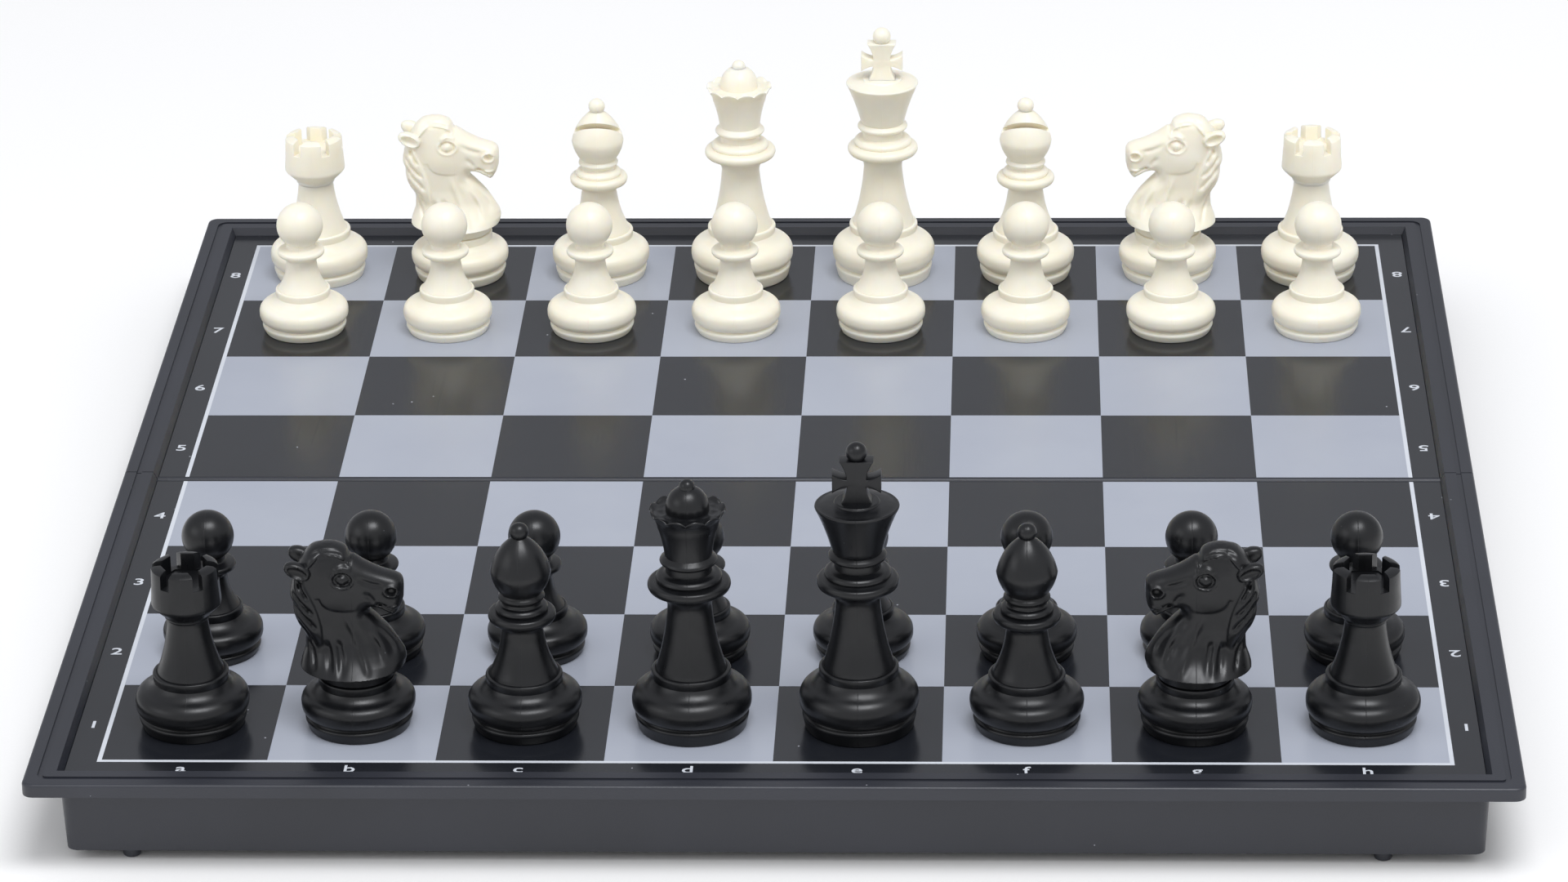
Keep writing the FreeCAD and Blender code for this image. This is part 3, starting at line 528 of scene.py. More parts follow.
class Outline:
    """Half the outline of a turned man, in mm, drawn from the foot up."""

    def __init__(self, radius, height):
        self.points = [(radius, height)]

    def line(self, radius, height):
        self.points.append((radius, height))

    def bow(self, radius, height, depth, steps=7):
        """An arc to the next point that stands outwards from the straight line by depth, or inwards if negative."""
        r0, z0 = self.points[-1]
        length = math.hypot(radius - r0, height - z0)
        out_r, out_z = (height - z0) / length, -(radius - r0) / length
        for i in range(1, steps + 1):
            t = i / steps
            lift = 4 * depth * t * (1 - t)
            self.points.append((r0 + (radius - r0) * t + out_r * lift, z0 + (height - z0) * t + out_z * lift))

    def ball(self, radius, centre, squash=1.0, steps=18):
        """A round end that closes on the axis, starting from the last point's radius."""
        start = -math.acos(min(1.0, self.points[-1][0] / radius))
        for i in range(1, steps + 1):
            a = start + (math.pi / 2 - start) * i / steps
            self.points.append((max(0.0, radius * math.cos(a)), centre + squash * radius * math.sin(a)))


def lathe_tree():
    tree, given, output = tree_with_inputs("Turning lathe", [
        ("Outline", "NodeSocketObject"), ("Points", "NodeSocketInt"), ("Steps", "NodeSocketInt"),
        ("Plastic", "NodeSocketMaterial")])
    columns = add(tree, "ShaderNodeMath", [(0, given.outputs["Steps"]), (1, 1.0)], operation="ADD")
    grid = add(tree, "GeometryNodeMeshGrid", [("Vertices X", columns.outputs[0]),
                                              ("Vertices Y", given.outputs["Points"])])
    index = add(tree, "GeometryNodeInputIndex").outputs[0]
    row = add(tree, "ShaderNodeMath", [(0, index), (1, given.outputs["Points"])], operation="FLOORED_MODULO")
    share = add(tree, "ShaderNodeMath", [(0, index), (1, given.outputs["Points"])], operation="DIVIDE")
    column = add(tree, "ShaderNodeMath", [(0, share.outputs[0])], operation="FLOOR")
    part = add(tree, "ShaderNodeMath", [(0, column.outputs[0]), (1, given.outputs["Steps"])], operation="DIVIDE")
    angle = add(tree, "ShaderNodeMath", [(0, part.outputs[0]), (1, math.tau)], operation="MULTIPLY")
    drawn = add(tree, "GeometryNodeObjectInfo", [("Object", given.outputs["Outline"])])
    place = add(tree, "GeometryNodeInputPosition").outputs[0]
    point = add(tree, "GeometryNodeSampleIndex", [("Geometry", drawn.outputs["Geometry"]), ("Index", row.outputs[0])],
                data_type="FLOAT_VECTOR")
    tree.links.new(place, point.inputs["Value"])
    turned = add(tree, "ShaderNodeVectorRotate", [("Vector", point.outputs["Value"]), ("Angle", angle.outputs[0])],
                 rotation_type="Z_AXIS")
    moved = add(tree, "GeometryNodeSetPosition", [("Geometry", grid.outputs[0]), ("Position", turned.outputs[0])])
    merged = add(tree, "GeometryNodeMergeByDistance", [("Geometry", moved.outputs[0]), ("Distance", 1e-6)])
    finish_tree(tree, merged.outputs[0], given.outputs["Plastic"], output)
    return tree


lathe = lathe_tree()


def turn(name, outline, material):
    """Turns an outline into a mesh, standing at the origin. joined() later shades it smooth with sharp edges kept."""
    drawn = bpy.data.meshes.new("outline")
    points = [(r * MM, 0, z * MM) for r, z in outline.points]
    drawn.from_pydata(points, [(i, i + 1) for i in range(len(points) - 1)], [])
    holder = bpy.data.objects.new("outline", drawn)
    bpy.context.collection.objects.link(holder)
    made = run_tree(name, lathe, {"Outline": holder, "Points": len(points), "Steps": STEPS_ROUND,
                                  "Plastic": material})
    mesh = made.data
    bpy.data.objects.remove(made)
    bpy.data.objects.remove(holder)
    return mesh


# %% [markdown]
# All the men share one foot: a band that stands on the square, a groove, a fat bulge, a hollow shoulder and a
# thin collar that the stem rises from. Kings, queens and bishops also share a wide collar with two rings over
# it. Each man's own sizes are radii and heights in millimetres.

# %% The men's shared parts
FOOT = {
    "king": dict(foot=12.2, band=3.5, bulge=12.9, bulge_z=6.6, collar=8.6, collar_z=14.3, stem=7.8),
    "queen": dict(foot=12.2, band=3.4, bulge=12.9, bulge_z=6.2, collar=8.57, collar_z=13.6, stem=7.7),
    "bishop": dict(foot=11.5, band=2.8, bulge=12.3, bulge_z=5.8, collar=8.3, collar_z=12.4, stem=7.55),
    "rook": dict(foot=11.5, band=2.8, bulge=12.3, bulge_z=5.7, collar=8.2, collar_z=12.7, stem=7.3),
    "knight": dict(foot=11.5, band=2.8, bulge=12.3, bulge_z=5.7, collar=8.4, collar_z=12.0, stem=7.6),
    "pawn": dict(foot=10.35, band=2.3, bulge=11.05, bulge_z=4.9, collar=6.8, collar_z=11.2, stem=6.2),
}
PAD_INSET = 3.4
PAD_DEPTH = 0.3


def draw_foot(kind):
    size = FOOT[kind]
    foot, band, bulge, bulge_z = size["foot"], size["band"], size["bulge"], size["bulge_z"]
    collar, collar_z = size["collar"], size["collar_z"]
    outline = Outline(0, PAD_DEPTH)
    outline.line(foot - PAD_INSET, PAD_DEPTH)
    outline.line(foot - PAD_INSET, 0.0)
    outline.line(foot - 0.85, 0.0)
    outline.bow(foot - 0.5, 0.35, 0.08, 3)
    outline.line(foot, band - 0.9)
    outline.bow(foot - 0.45, band + 0.1, 0.28, 5)
    outline.line(foot - 0.6, band + 0.35)
    outline.bow(bulge, bulge_z, 0.42, 8)
    rise = collar_z - 2.0 - bulge_z
    fall = bulge - collar
    outline.bow(bulge - 0.42 * fall, bulge_z + 0.62 * rise, 0.62, 9)
    outline.bow(collar - 0.1, collar_z - 1.9, -0.32, 7)
    outline.line(collar, collar_z - 1.1)
    outline.line(collar, collar_z - 0.45)
    outline.bow(collar - 0.4, collar_z, 0.14, 4)
    outline.line(size["stem"] + 0.12, collar_z)
    outline.bow(size["stem"], collar_z + 0.05, -0.12, 3)
    return outline


NECK = {
    "king": dict(stem=4.8, stem_z=29.6, wide=8.85, wide_z=34.2, ring=7.0, ring_z=36.4, neck=5.0, upper=6.3,
                 upper_z=40.3),
    "queen": dict(stem=4.75, stem_z=28.6, wide=8.94, wide_z=33.4, ring=6.9, ring_z=35.4, neck=5.0, upper=6.2,
                  upper_z=39.2),
    "bishop": dict(stem=4.5, stem_z=22.3, wide=7.3, wide_z=26.1, ring=5.45, ring_z=28.0, neck=4.2, upper=5.0,
                   upper_z=30.6),
}


def draw_stem(outline, radius, height):
    outline.bow(radius, height, -0.5, 12)


def draw_neck(outline, kind):
    """The flare under the wide collar, the collar, the ring on it, the neck and the upper ring."""
    size = NECK[kind]
    wide, wide_z, ring, ring_z = size["wide"], size["wide_z"], size["ring"], size["ring_z"]
    neck, upper, upper_z = size["neck"], size["upper"], size["upper_z"]
    draw_stem(outline, size["stem"], size["stem_z"])
    outline.bow(wide - 1.5, wide_z - 1.25, -0.7, 7)
    outline.bow(wide, wide_z, 0.45, 6)
    outline.bow(wide - 1.15, wide_z + 1.1, 0.42, 6)
    outline.line(ring + 0.05, ring_z - 0.75)
    outline.bow(ring - 0.15, ring_z + 0.5, 0.3, 6)
    outline.bow(ring - 0.9, ring_z + 0.75, 0.1, 3)
    outline.bow(neck, ring_z + 1.15, -0.1, 3)
    outline.line(neck, upper_z - 1.0)
    outline.bow(upper - 0.35, upper_z - 0.6, 0.1, 3)
    outline.bow(upper - 0.35, upper_z + 0.55, 0.36, 6)


print("feet for", ", ".join(FOOT))

# %% [markdown]
# ## Building each kind once
# Every kind of man is built once, as one mesh in the man's own place: foot on the ground, axis on Z, front
# towards -Y. Loose shapes such as a cross are joined into it. Later each mesh is copied to its squares.

# %% Mesh tools
def joined(name, meshes, material):
    """Several meshes made one, with sharp edges kept where the surface turns by more than 34 degrees."""
    shape = bmesh.new()
    for mesh in meshes:
        shape.from_mesh(mesh)
    for face in shape.faces:
        face.smooth = True
        face.material_index = 0
    whole = bpy.data.meshes.new(name)
    shape.to_mesh(whole)
    shape.free()
    whole.materials.append(material)
    whole.set_sharp_from_angle(angle=math.radians(34))
    return whole


def reshape(mesh, change):
    """Moves a mesh's points: change is given radius, angle from the front and height in mm, and returns them."""
    points = np.empty(len(mesh.vertices) * 3)
    mesh.vertices.foreach_get("co", points)
    x, y, z = points.reshape(-1, 3).T / MM
    radius, height = change(np.hypot(x, y), np.arctan2(x, -y), z)
    scale = radius / np.maximum(np.hypot(x, y), 1e-9)
    moved = np.stack([x * scale, y * scale, height], 1) * MM
    mesh.vertices.foreach_set("co", moved.ravel())
    mesh.update()
    return mesh


# %% Pawn
PAWN_PLATE = (5.85, 20.9)
PAWN_HEAD_R = 5.74
PAWN_HEIGHT = 33.5


def build_pawn():
    outline = draw_foot("pawn")
    draw_stem(outline, 3.8, 17.8)
    plate, plate_z = PAWN_PLATE
    outline.bow(plate - 0.9, plate_z - 0.95, -0.5, 6)
    outline.bow(plate, plate_z, 0.25, 5)
    outline.bow(plate - 0.7, plate_z + 0.75, 0.25, 5)
    outline.line(4.0, plate_z + 1.05)
    outline.bow(3.55, plate_z + 1.35, -0.1, 3)
    outline.line(3.5, PAWN_HEIGHT - PAWN_HEAD_R - math.sqrt(PAWN_HEAD_R ** 2 - 3.5 ** 2))
    outline.ball(PAWN_HEAD_R, PAWN_HEIGHT - PAWN_HEAD_R, steps=26)
    return joined("pawn", [turn("pawn", outline, black_plastic)], black_plastic)


KIND = {"pawn": build_pawn()}
print("pawn faces", len(KIND["pawn"].polygons))

# %% [markdown]
# The queen's crown has twelve round lobes with sharp notches between them, cut by moving the rim's points:
# the rim sinks where the sine of six times the angle crosses zero, and each lobe is hollowed like a spoon.

# %% Queen
CROWN_RIM_Z = 51.2
LOBES = 12
NOTCH_DEPTH = 0.85
SPOON_DEPTH = 0.32
LOBE_ROUNDNESS = 0.7


def crown_lobes(radius, angle, height):
    lobe = np.abs(np.sin(LOBES / 2 * angle)) ** LOBE_ROUNDNESS
    near_rim = np.clip((height - CROWN_RIM_Z + 1.5) / 1.5, 0, 1) * np.clip((radius - 5.4) / 2.3, 0, 1)
    on_top = np.clip((radius - 4.9) / 0.8, 0, 1) * np.clip((7.9 - radius) / 0.9, 0, 1) * (height > CROWN_RIM_Z - 1.6)
    return radius, height - near_rim * NOTCH_DEPTH * (1 - lobe) - on_top * SPOON_DEPTH * lobe


def build_queen():
    outline = draw_foot("queen")
    draw_neck(outline, "queen")
    outline.line(5.1, 40.4)
    outline.bow(6.6, 47.3, -0.22, 8)
    outline.bow(8.15, CROWN_RIM_Z - 0.35, -0.24, 8)
    outline.bow(8.0, CROWN_RIM_Z, 0.08, 4)
    outline.line(7.75, CROWN_RIM_Z - 0.02)
    outline.bow(6.4, CROWN_RIM_Z - 0.4, -0.08, 6)
    outline.bow(4.66, CROWN_RIM_Z - 0.6, -0.05, 6)
    outline.line(4.66, CROWN_RIM_Z + 0.3)
    outline.ball(4.66, 51.5)
    body = reshape(turn("queen", outline, black_plastic), crown_lobes)
    button = Outline(0, 55.6)
    button.line(1.74, 55.6)
    button.ball(1.74, 56.0, 0.97, 12)
    return joined("queen", [body, turn("button", button, black_plastic)], black_plastic)


KIND["queen"] = build_queen()
print("queen faces", len(KIND["queen"].polygons))

# %% [markdown]
# The king's cross is a flat outline with wide upright arms and hollow flanks, made as a curve so that its edges get an even
# rounding, and then turned into a mesh. It stands on a small raised disc and carries a ball.

# %% King
CROSS_FOOT_Z = 52.4
CROSS_TOP_Z = 62.6
CROSS_CORNER = (2.1, 0.85)
CROSS_UP = (3.6, 5.0)
CROSS_ACROSS = (5.2, 2.15)
CROSS_HALF_THICKNESS = 2.0
CROSS_EDGE = 0.25
KING_HEIGHT = 66.3
KING_BALL_R = 2.25


def flank(start, end, hollow, steps=8):
    """From the inner corner out to the end of an arm, staying near the arm's axis first and then flaring."""
    return [(start[0] + (end[0] - start[0]) * (t ** hollow[0]), start[1] + (end[1] - start[1]) * (t ** hollow[1]))
            for t in (i / steps for i in range(steps + 1))]


def cross_outline():
    """A quarter drawn once, from the top arm's end to the side arm's end, and mirrored to the other three."""
    up = flank(CROSS_CORNER, CROSS_UP, (1.9, 1.0))
    across = flank(CROSS_CORNER, CROSS_ACROSS, (1.0, 1.7))
    quarter = list(reversed(up)) + across[1:]
    right = quarter + [(x, -y) for x, y in reversed(quarter)]
    return right + [(-x, y) for x, y in reversed(right)]


def solid_from_outline(points, half_thickness, edge):
    """A flat closed outline made a solid slab with rounded edges, lying in the XY plane, as a mesh in mm."""
    curve = bpy.data.curves.new("slab", "CURVE")
    curve.dimensions = "2D"
    curve.fill_mode = "BOTH"
    curve.extrude = half_thickness - edge
    curve.bevel_depth = edge
    curve.bevel_resolution = 2
    curve.offset = -edge
    spline = curve.splines.new("POLY")
    spline.points.add(len(points) - 1)
    for point, (x, y) in zip(spline.points, points):
        point.co = (x, y, 0, 1)
    spline.use_cyclic_u = True
    return curve_to_mesh(curve)


def curve_to_mesh(curve):
    holder = bpy.data.objects.new("curve", curve)
    bpy.context.collection.objects.link(holder)
    bpy.context.view_layer.update()
    mesh = bpy.data.meshes.new_from_object(holder.evaluated_get(bpy.context.evaluated_depsgraph_get()))
    bpy.data.objects.remove(holder)
    bpy.data.curves.remove(curve)
    shape = bmesh.new()
    shape.from_mesh(mesh)
    bmesh.ops.remove_doubles(shape, verts=shape.verts, dist=1e-4)
    bmesh.ops.recalc_face_normals(shape, faces=shape.faces)
    shape.to_mesh(mesh)
    shape.free()
    return mesh


def build_king():
    outline = draw_foot("king")
    draw_neck(outline, "king")
    outline.line(5.2, 41.3)
    outline.bow(5.5, 41.7, 0.0, 1)
    outline.bow(8.9, 51.4, -0.25, 12)
    outline.bow(9.0, 51.9, 0.08, 3)
    outline.line(8.75, 52.05)
    outline.line(8.35, 52.0)
    outline.bow(5.0, 52.55, 0.1, 5)
    outline.line(4.85, 52.75)
    outline.bow(4.5, 52.95, 0.08, 3)
    outline.line(0, 52.95)
    cross = solid_from_outline(cross_outline(), CROSS_HALF_THICKNESS, CROSS_EDGE)
    middle_z = (CROSS_FOOT_Z + CROSS_TOP_Z) / 2
    stand = Matrix.Translation((0, 0, middle_z)) @ Matrix.Rotation(math.pi / 2, 4, "X")
    cross.transform(Matrix.Scale(MM, 4) @ stand)
    ball = Outline(0, KING_HEIGHT - 2 * KING_BALL_R)
    ball.ball(KING_BALL_R, KING_HEIGHT - KING_BALL_R, steps=20)
    meshes = [turn("king", outline, black_plastic), cross, turn("ball", ball, black_plastic)]
    return joined("king", meshes, black_plastic)


KIND["king"] = build_king()
print("king faces", len(KIND["king"].polygons))

# %% [markdown]
# The bishop's mitre is split by a slit that runs from its back down to its axis. The slit is a cut: a thin
# block is taken away with an exact boolean, whose modifier is gone again before the mesh is used.

# %% Bishop
MITRE_SLIT = 1.35
MITRE_SLIT_Z = 38.65
MITRE_SLIT_LEAN = 37.0
BISHOP_HEIGHT = 47.5


def slab(size, matrix):
    """A box of the given size in mm, set down by a matrix, as a mesh in metres."""
    shape = bmesh.new()
    bmesh.ops.create_cube(shape, size=1.0, matrix=matrix @ Matrix.Diagonal((*size, 1)))
    shape.transform(Matrix.Scale(MM, 4))
    mesh = bpy.data.meshes.new("slab")
    shape.to_mesh(mesh)
    shape.free()
    return mesh


def cut(mesh, tool):
    """mesh with tool taken away."""
    holder, knife = bpy.data.objects.new("cut", mesh), bpy.data.objects.new("knife", tool)
    bpy.context.collection.objects.link(holder)
    bpy.context.collection.objects.link(knife)
    modifier = holder.modifiers.new("cut", "BOOLEAN")
    modifier.operation = "DIFFERENCE"
    modifier.solver = "EXACT"
    modifier.object = knife
    bpy.context.view_layer.update()
    result = bpy.data.meshes.new_from_object(holder.evaluated_get(bpy.context.evaluated_depsgraph_get()))
    bpy.data.objects.remove(holder)
    bpy.data.objects.remove(knife)
    return result


def build_bishop():
    outline = draw_foot("bishop")
    draw_neck(outline, "bishop")
    outline.line(4.5, 31.3)
    outline.bow(4.4, 31.5, 0.0, 1)
    outline.bow(6.56, 36.4, 0.38, 8)
    outline.bow(1.5, 44.3, 0.95, 14)
    outline.bow(1.35, 44.75, -0.05, 2)
    outline.ball(2.1, 45.5, 0.95, 14)
    depth = 16.0
    lean = Matrix.Rotation(math.radians(MITRE_SLIT_LEAN), 4, "X")
    place = Matrix.Translation((0, 0, MITRE_SLIT_Z)) @ lean @ Matrix.Translation((0, depth / 2, 0))
    body = cut(turn("bishop", outline, black_plastic), slab((depth, depth, MITRE_SLIT), place))
    return joined("bishop", [body], black_plastic)


KIND["bishop"] = build_bishop()
print("bishop faces", len(KIND["bishop"].polygons))

# %% [markdown]
# The rook's turret is lathe-like too, but its top goes up and down: six merlons with straight-sided slots
# between them, round a hollow whose wall is flat behind each merlon. It is built in columns. A column's place
# round the axis depends on the radius, so that the slot walls come out parallel and not like slices of cake.

# %% Rook
ROOK_HEIGHT = 38.0
TURRET_R = 7.15
TURRET_FLAT = 4.8
SLOT_FLOOR_Z = 34.3
SLOT_HALF = 1.1
MERLONS = 6
MERLON_FALL = 0.7       # how far a merlon's top slopes down to its outer edge
EDGE = 0.14
MERLON_COLUMNS = 7


def turret_columns():
    """(offset, share, drop): a column's distance from the slot's middle plane, how far it has gone towards the
    next slot, and how far its top is below full height."""
    full = ROOK_HEIGHT - SLOT_FLOOR_Z
    reach = SLOT_HALF + EDGE
    wall = [(SLOT_HALF, full), (SLOT_HALF + 0.012, EDGE), (SLOT_HALF + 0.3 * EDGE, 0.3 * EDGE), (reach, 0.0)]
    columns = [(0.0, 0.0, full)]
    columns += [(offset, 0.0, drop) for offset, drop in wall]
    for i in range(1, MERLON_COLUMNS + 1):
        share = i / (MERLON_COLUMNS + 1)
        columns.append((reach * (1 - 2 * share), share, 0.0))
    columns += [(-offset, 1.0, drop) for offset, drop in reversed(wall)]
    return columns


def turret_profile():
    """(radius outside, height) up the outside, or (None, height) on the flat-sided inside."""
    top = ROOK_HEIGHT
    rings = [(0.0, 25.4, False), (4.5, 25.4, False), (4.8, 25.65, False), (4.8, 26.1, False),
             (4.95, 26.35, False), (6.1, 27.4, False), (7.3, 28.6, False), (7.52, 28.95, False),
             (7.55, 29.5, False), (7.4, 31.6, False), (TURRET_R + 0.1, SLOT_FLOOR_Z - 0.05, False),
             (TURRET_R, top - MERLON_FALL - EDGE, False), (TURRET_R - 0.3 * EDGE, top - MERLON_FALL, False),
             (TURRET_R - 0.7, top - 0.35 * MERLON_FALL, False), (TURRET_FLAT + 3 * EDGE, top, True),
             (TURRET_FLAT + 0.3 * EDGE, top - 0.3 * EDGE, True), (TURRET_FLAT, top - 2 * EDGE, True),
             (TURRET_FLAT, SLOT_FLOOR_Z - 0.3, True), (0.0, SLOT_FLOOR_Z - 0.3, False)]
    return rings


def build_turret():
    columns, rings = turret_columns(), turret_profile()
    vertices, faces = [], []
    sector = math.tau / MERLONS
    for index in range(MERLONS):
        for offset, share, drop in columns:
            for radius, height, flat in rings:
                at = sector * share + math.asin(offset / max(radius, 2.0))
                if flat:
                    radius = radius / math.cos(at - sector / 2)
                angle = at + (index - 0.5) * sector
                z = min(height, ROOK_HEIGHT - drop)
                vertices.append((radius * math.sin(angle) * MM, -radius * math.cos(angle) * MM, z * MM))
    rows, total = len(rings), len(columns) * MERLONS
    for c in range(total):
        n = (c + 1) % total
        for r in range(rows - 1):
            faces.append((c * rows + r, n * rows + r, n * rows + r + 1, c * rows + r + 1))
    piece = mesh_piece("turret", vertices, faces, black_plastic)
    mesh = piece.data
    bpy.data.objects.remove(piece)
    return mesh


def build_rook():
    outline = draw_foot("rook")
    draw_stem(outline, 4.4, 25.0)
    outline.bow(4.6, 25.6, -0.05, 3)
    outline.line(0, 25.6)
    return joined("rook", [turn("rook", outline, black_plastic), build_turret()], black_plastic)


KIND["rook"] = build_rook()
print("rook faces", len(KIND["rook"].polygons))

# %% [markdown]
# ## The knight
# A horse's head has no axis to turn about, so it is carved as a field of distances. The side outline is a
# smooth closed curve. Inside it the half thickness is a map over the side view: rounded at the rim, full at
# the cheek, thin at the muzzle, and wide at the hem, where the neck flares to a round skirt. Grooves for the
# mouth, the mane's locks and the neck's folds are taken off the map along short paths. The field is then
# turned into a mesh at its zero level. Ears stand free of the side map, so they are added as solid shapes.

# %% Knight tools
VOXEL = 0.26
HEM_Z = 14.8


def smooth_path(points, closed=False, steps=8):
    """A Catmull-Rom curve through the points."""
    p = np.array(points, float)
    if closed:
        p = np.concatenate([p[-1:], p, p[:2]])
    else:
        p = np.concatenate([2 * p[:1] - p[1:2], p, 2 * p[-1:] - p[-2:-1]])
    t = np.linspace(0, 1, steps, endpoint=False)[:, None]
    parts = []
    for a, b, c, d in zip(p[:-3], p[1:-2], p[2:-1], p[3:]):
        parts.append(0.5 * (2 * b + (c - a) * t + (2 * a - 5 * b + 4 * c - d) * t ** 2
                            + (3 * b - a - 3 * c + d) * t ** 3))
    if not closed:
        parts.append(p[-2:-1])
    return np.concatenate(parts)


def distance_to(path, x, z, closed=False):
    """Each grid point's distance to a path of straight pieces, and how far along it (0 to 1)."""
    ends = np.roll(path, -1, axis=0) if closed else path[1:]
    starts = path if closed else path[:-1]
    best, along = np.full(x.shape, 1e9), np.zeros(x.shape)
    for i, (a, b) in enumerate(zip(starts, ends)):
        d = b - a
        t = np.clip(((x - a[0]) * d[0] + (z - a[1]) * d[1]) / max(d @ d, 1e-12), 0, 1)
        far = np.hypot(x - a[0] - t * d[0], z - a[1] - t * d[1])
        along = np.where(far < best, (i + t) / len(starts), along)
        best = np.minimum(best, far)
    return best, along


def inside_of(path, x, z):
    """True where a grid point lies inside the closed path."""
    hit = np.zeros(x.shape, bool)
    for a, b in zip(path, np.roll(path, -1, axis=0)):
        if a[1] == b[1]:
            continue
        crossing = (a[1] > z) != (b[1] > z)
        hit ^= crossing & (x < (b[0] - a[0]) * (z - a[1]) / (b[1] - a[1]) + a[0])
    return hit


def step(value, low, high):
    t = np.clip((value - low) / (high - low), 0, 1)
    return t * t * (3 - 2 * t)


def groove(points, x, z, width, depth, fade=0.25):
    """A groove's depth along a smooth path, dying away over the last share of its length."""
    away, along = distance_to(smooth_path(points), x, z)
    ends = step(along, 0, fade) * step(1 - along, 0, fade)
    return depth * np.exp(-(away / width) ** 2) * ends


# %% Knight's side map
BACK = [(-12.1, 14.8), (-11.6, 16.6), (-10.8, 18.9), (-10.7, 22.3), (-12.1, 24.8), (-12.9, 27.2), (-13.0, 29.6),
        (-13.5, 31.0), (-13.4, 32.9), (-12.7, 35.6)]
TOP = [(-11.2, 39.1), (-8.5, 42.3), (-4.5, 43.1), (-1.3, 42.0), (-0.3, 40.2)]
FACE = [(0.5, 40.1), (3.3, 38.2), (6.4, 36.7), (9.6, 35.6), (10.8, 34.4), (10.9, 31.7), (10.4, 28.9), (8.9, 26.6)]
JAW = [(7.2, 27.2), (5.5, 28.1), (3.7, 28.3), (3.4, 27.3), (5.0, 25.6), (7.4, 23.0), (9.2, 20.4), (10.6, 17.9),
       (10.9, 16.3), (10.5, 14.8)]
HEAD_LOW = [(-6.9, 31.6), (-6.3, 30.3), (-5.3, 29.4), (-3.6, 28.8), (-1.2, 28.6), (1.0, 28.8), (3.2, 29.2),
            (5.6, 29.3)]
HAIR_LOW = [(-11.6, 38.4), (-9.2, 40.2), (-5.9, 41.2), (-2.7, 40.8), (-1.0, 39.6), (-0.2, 38.6)]
MANE_EDGE = [(-6.2, 41.5), (-9.4, 38.0), (-10.2, 35.5), (-8.8, 32.0), (-7.6, 29.0), (-6.7, 25.0), (-6.5, 21.0),
             (-6.9, 17.5), (-7.6, 14.0)]


def side_map(x, z):
    """Half thickness in mm squared over the side view: above 0 inside the outline, below 0 outside it."""
    outline = smooth_path(BACK + TOP + FACE + JAW)
    outline = np.concatenate([outline, [(10.6, 10.0), (-12.1, 10.0)]])
    away, _ = distance_to(outline, x, z, closed=True)
    deep = np.where(inside_of(outline, x, z), away, -away)

    head_edge = smooth_path(HEAD_LOW)
    below, _ = distance_to(head_edge, x, z)
    over_jaw = z > np.interp(x, head_edge[:, 0], head_edge[:, 1])
    head = np.where(over_jaw, below, -below) * 1.0
    head = step(head, -0.25, 0.25) * step(x, -9.0, -6.6)

    muzzle = step(x, 0.5, 7.5)
    cheek = np.exp(-(((x + 3.2) / 4.6) ** 2 + ((z - 32.0) / 4.4) ** 2))
    full = 4.1 - 0.75 * muzzle + 0.9 * cheek - 0.8 * step(z, 36.5, 42.5)
    neck = 4.3 + 0.3 * step(25.0 - z, 0, 8)
    half = neck + (full - neck) * head

    mane_edge = smooth_path(MANE_EDGE)
    mane_away, _ = distance_to(mane_edge, x, z)
    behind = x < np.interp(z, mane_edge[::-1, 1], mane_edge[::-1, 0])
    mane = step(np.where(behind, mane_away, -mane_away), -0.3, 0.35)
    hair_edge = smooth_path(HAIR_LOW)
    hair_away, _ = distance_to(hair_edge, x, z)
    above = z > np.interp(x, hair_edge[:, 0], hair_edge[:, 1], left=99, right=99)
    hair = step(np.where(above, hair_away, -hair_away), -0.2, 0.3)
    half = half + 0.75 * mane + 1.0 * hair * (1 - mane)

    rim = 3.2 + 0.6 * step(z, 24, 18) - 1.1 * muzzle * head
    share = np.clip(deep / rim, -4, 1)
    rounded = np.where(share > 0, share * (2 - share), 2 * share)
    upper = half ** 2 * rounded

    low_x = np.interp(z, [p[1] for p in BACK], [p[0] for p in BACK])
    chest = list(reversed(JAW[3:]))
    high_x = np.interp(z, [p[1] for p in chest], [p[0] for p in chest])
    u = (x - (low_x + high_x) / 2) / ((high_x - low_x) / 2)
    flare = 5.1 + 4.9 * np.clip((21.5 - z) / (21.5 - HEM_Z), 0, 1.2) ** 1.9
    lower = flare ** 2 * (1 - u * u)
    lower = np.where(u * u > 1, lower.clip(-60, 0), lower)
    to_upper = step(z, 19.0, 24.5)
    field = lower * (1 - to_upper) + upper * to_upper
    return field, deep


# %% Knight's carving
LOCKS = [
    [(-12.6, 37.0), (-11.3, 34.8), (-10.3, 33.0), (-9.2, 31.0)],
    [(-13.2, 33.8), (-11.8, 31.8), (-10.0, 29.6), (-8.0, 27.6)],
    [(-12.9, 30.6), (-11.2, 28.4), (-9.3, 26.4), (-7.6, 24.2)],
    [(-12.3, 27.0), (-10.6, 24.6), (-9.2, 22.4), (-8.0, 19.6)],
    [(-10.6, 23.0), (-9.5, 20.4), (-8.6, 17.8), (-8.3, 15.4)],
    [(-9.9, 40.2), (-9.9, 37.6), (-10.6, 35.6), (-11.6, 33.2)],
]
FOLDS = [
    [(0.6, 28.0), (2.6, 25.4), (4.4, 22.4), (5.6, 19.2), (6.6, 15.8)],
    [(-3.6, 22.6), (-3.0, 20.3), (-2.5, 17.8), (-2.2, 14.2)],
    [(4.4, 25.2), (6.2, 23.0), (7.8, 20.4), (9.0, 17.2)],
    [(-5.8, 22.2), (-5.4, 19.8), (-5.1, 17.4), (-4.9, 14.4)],
]
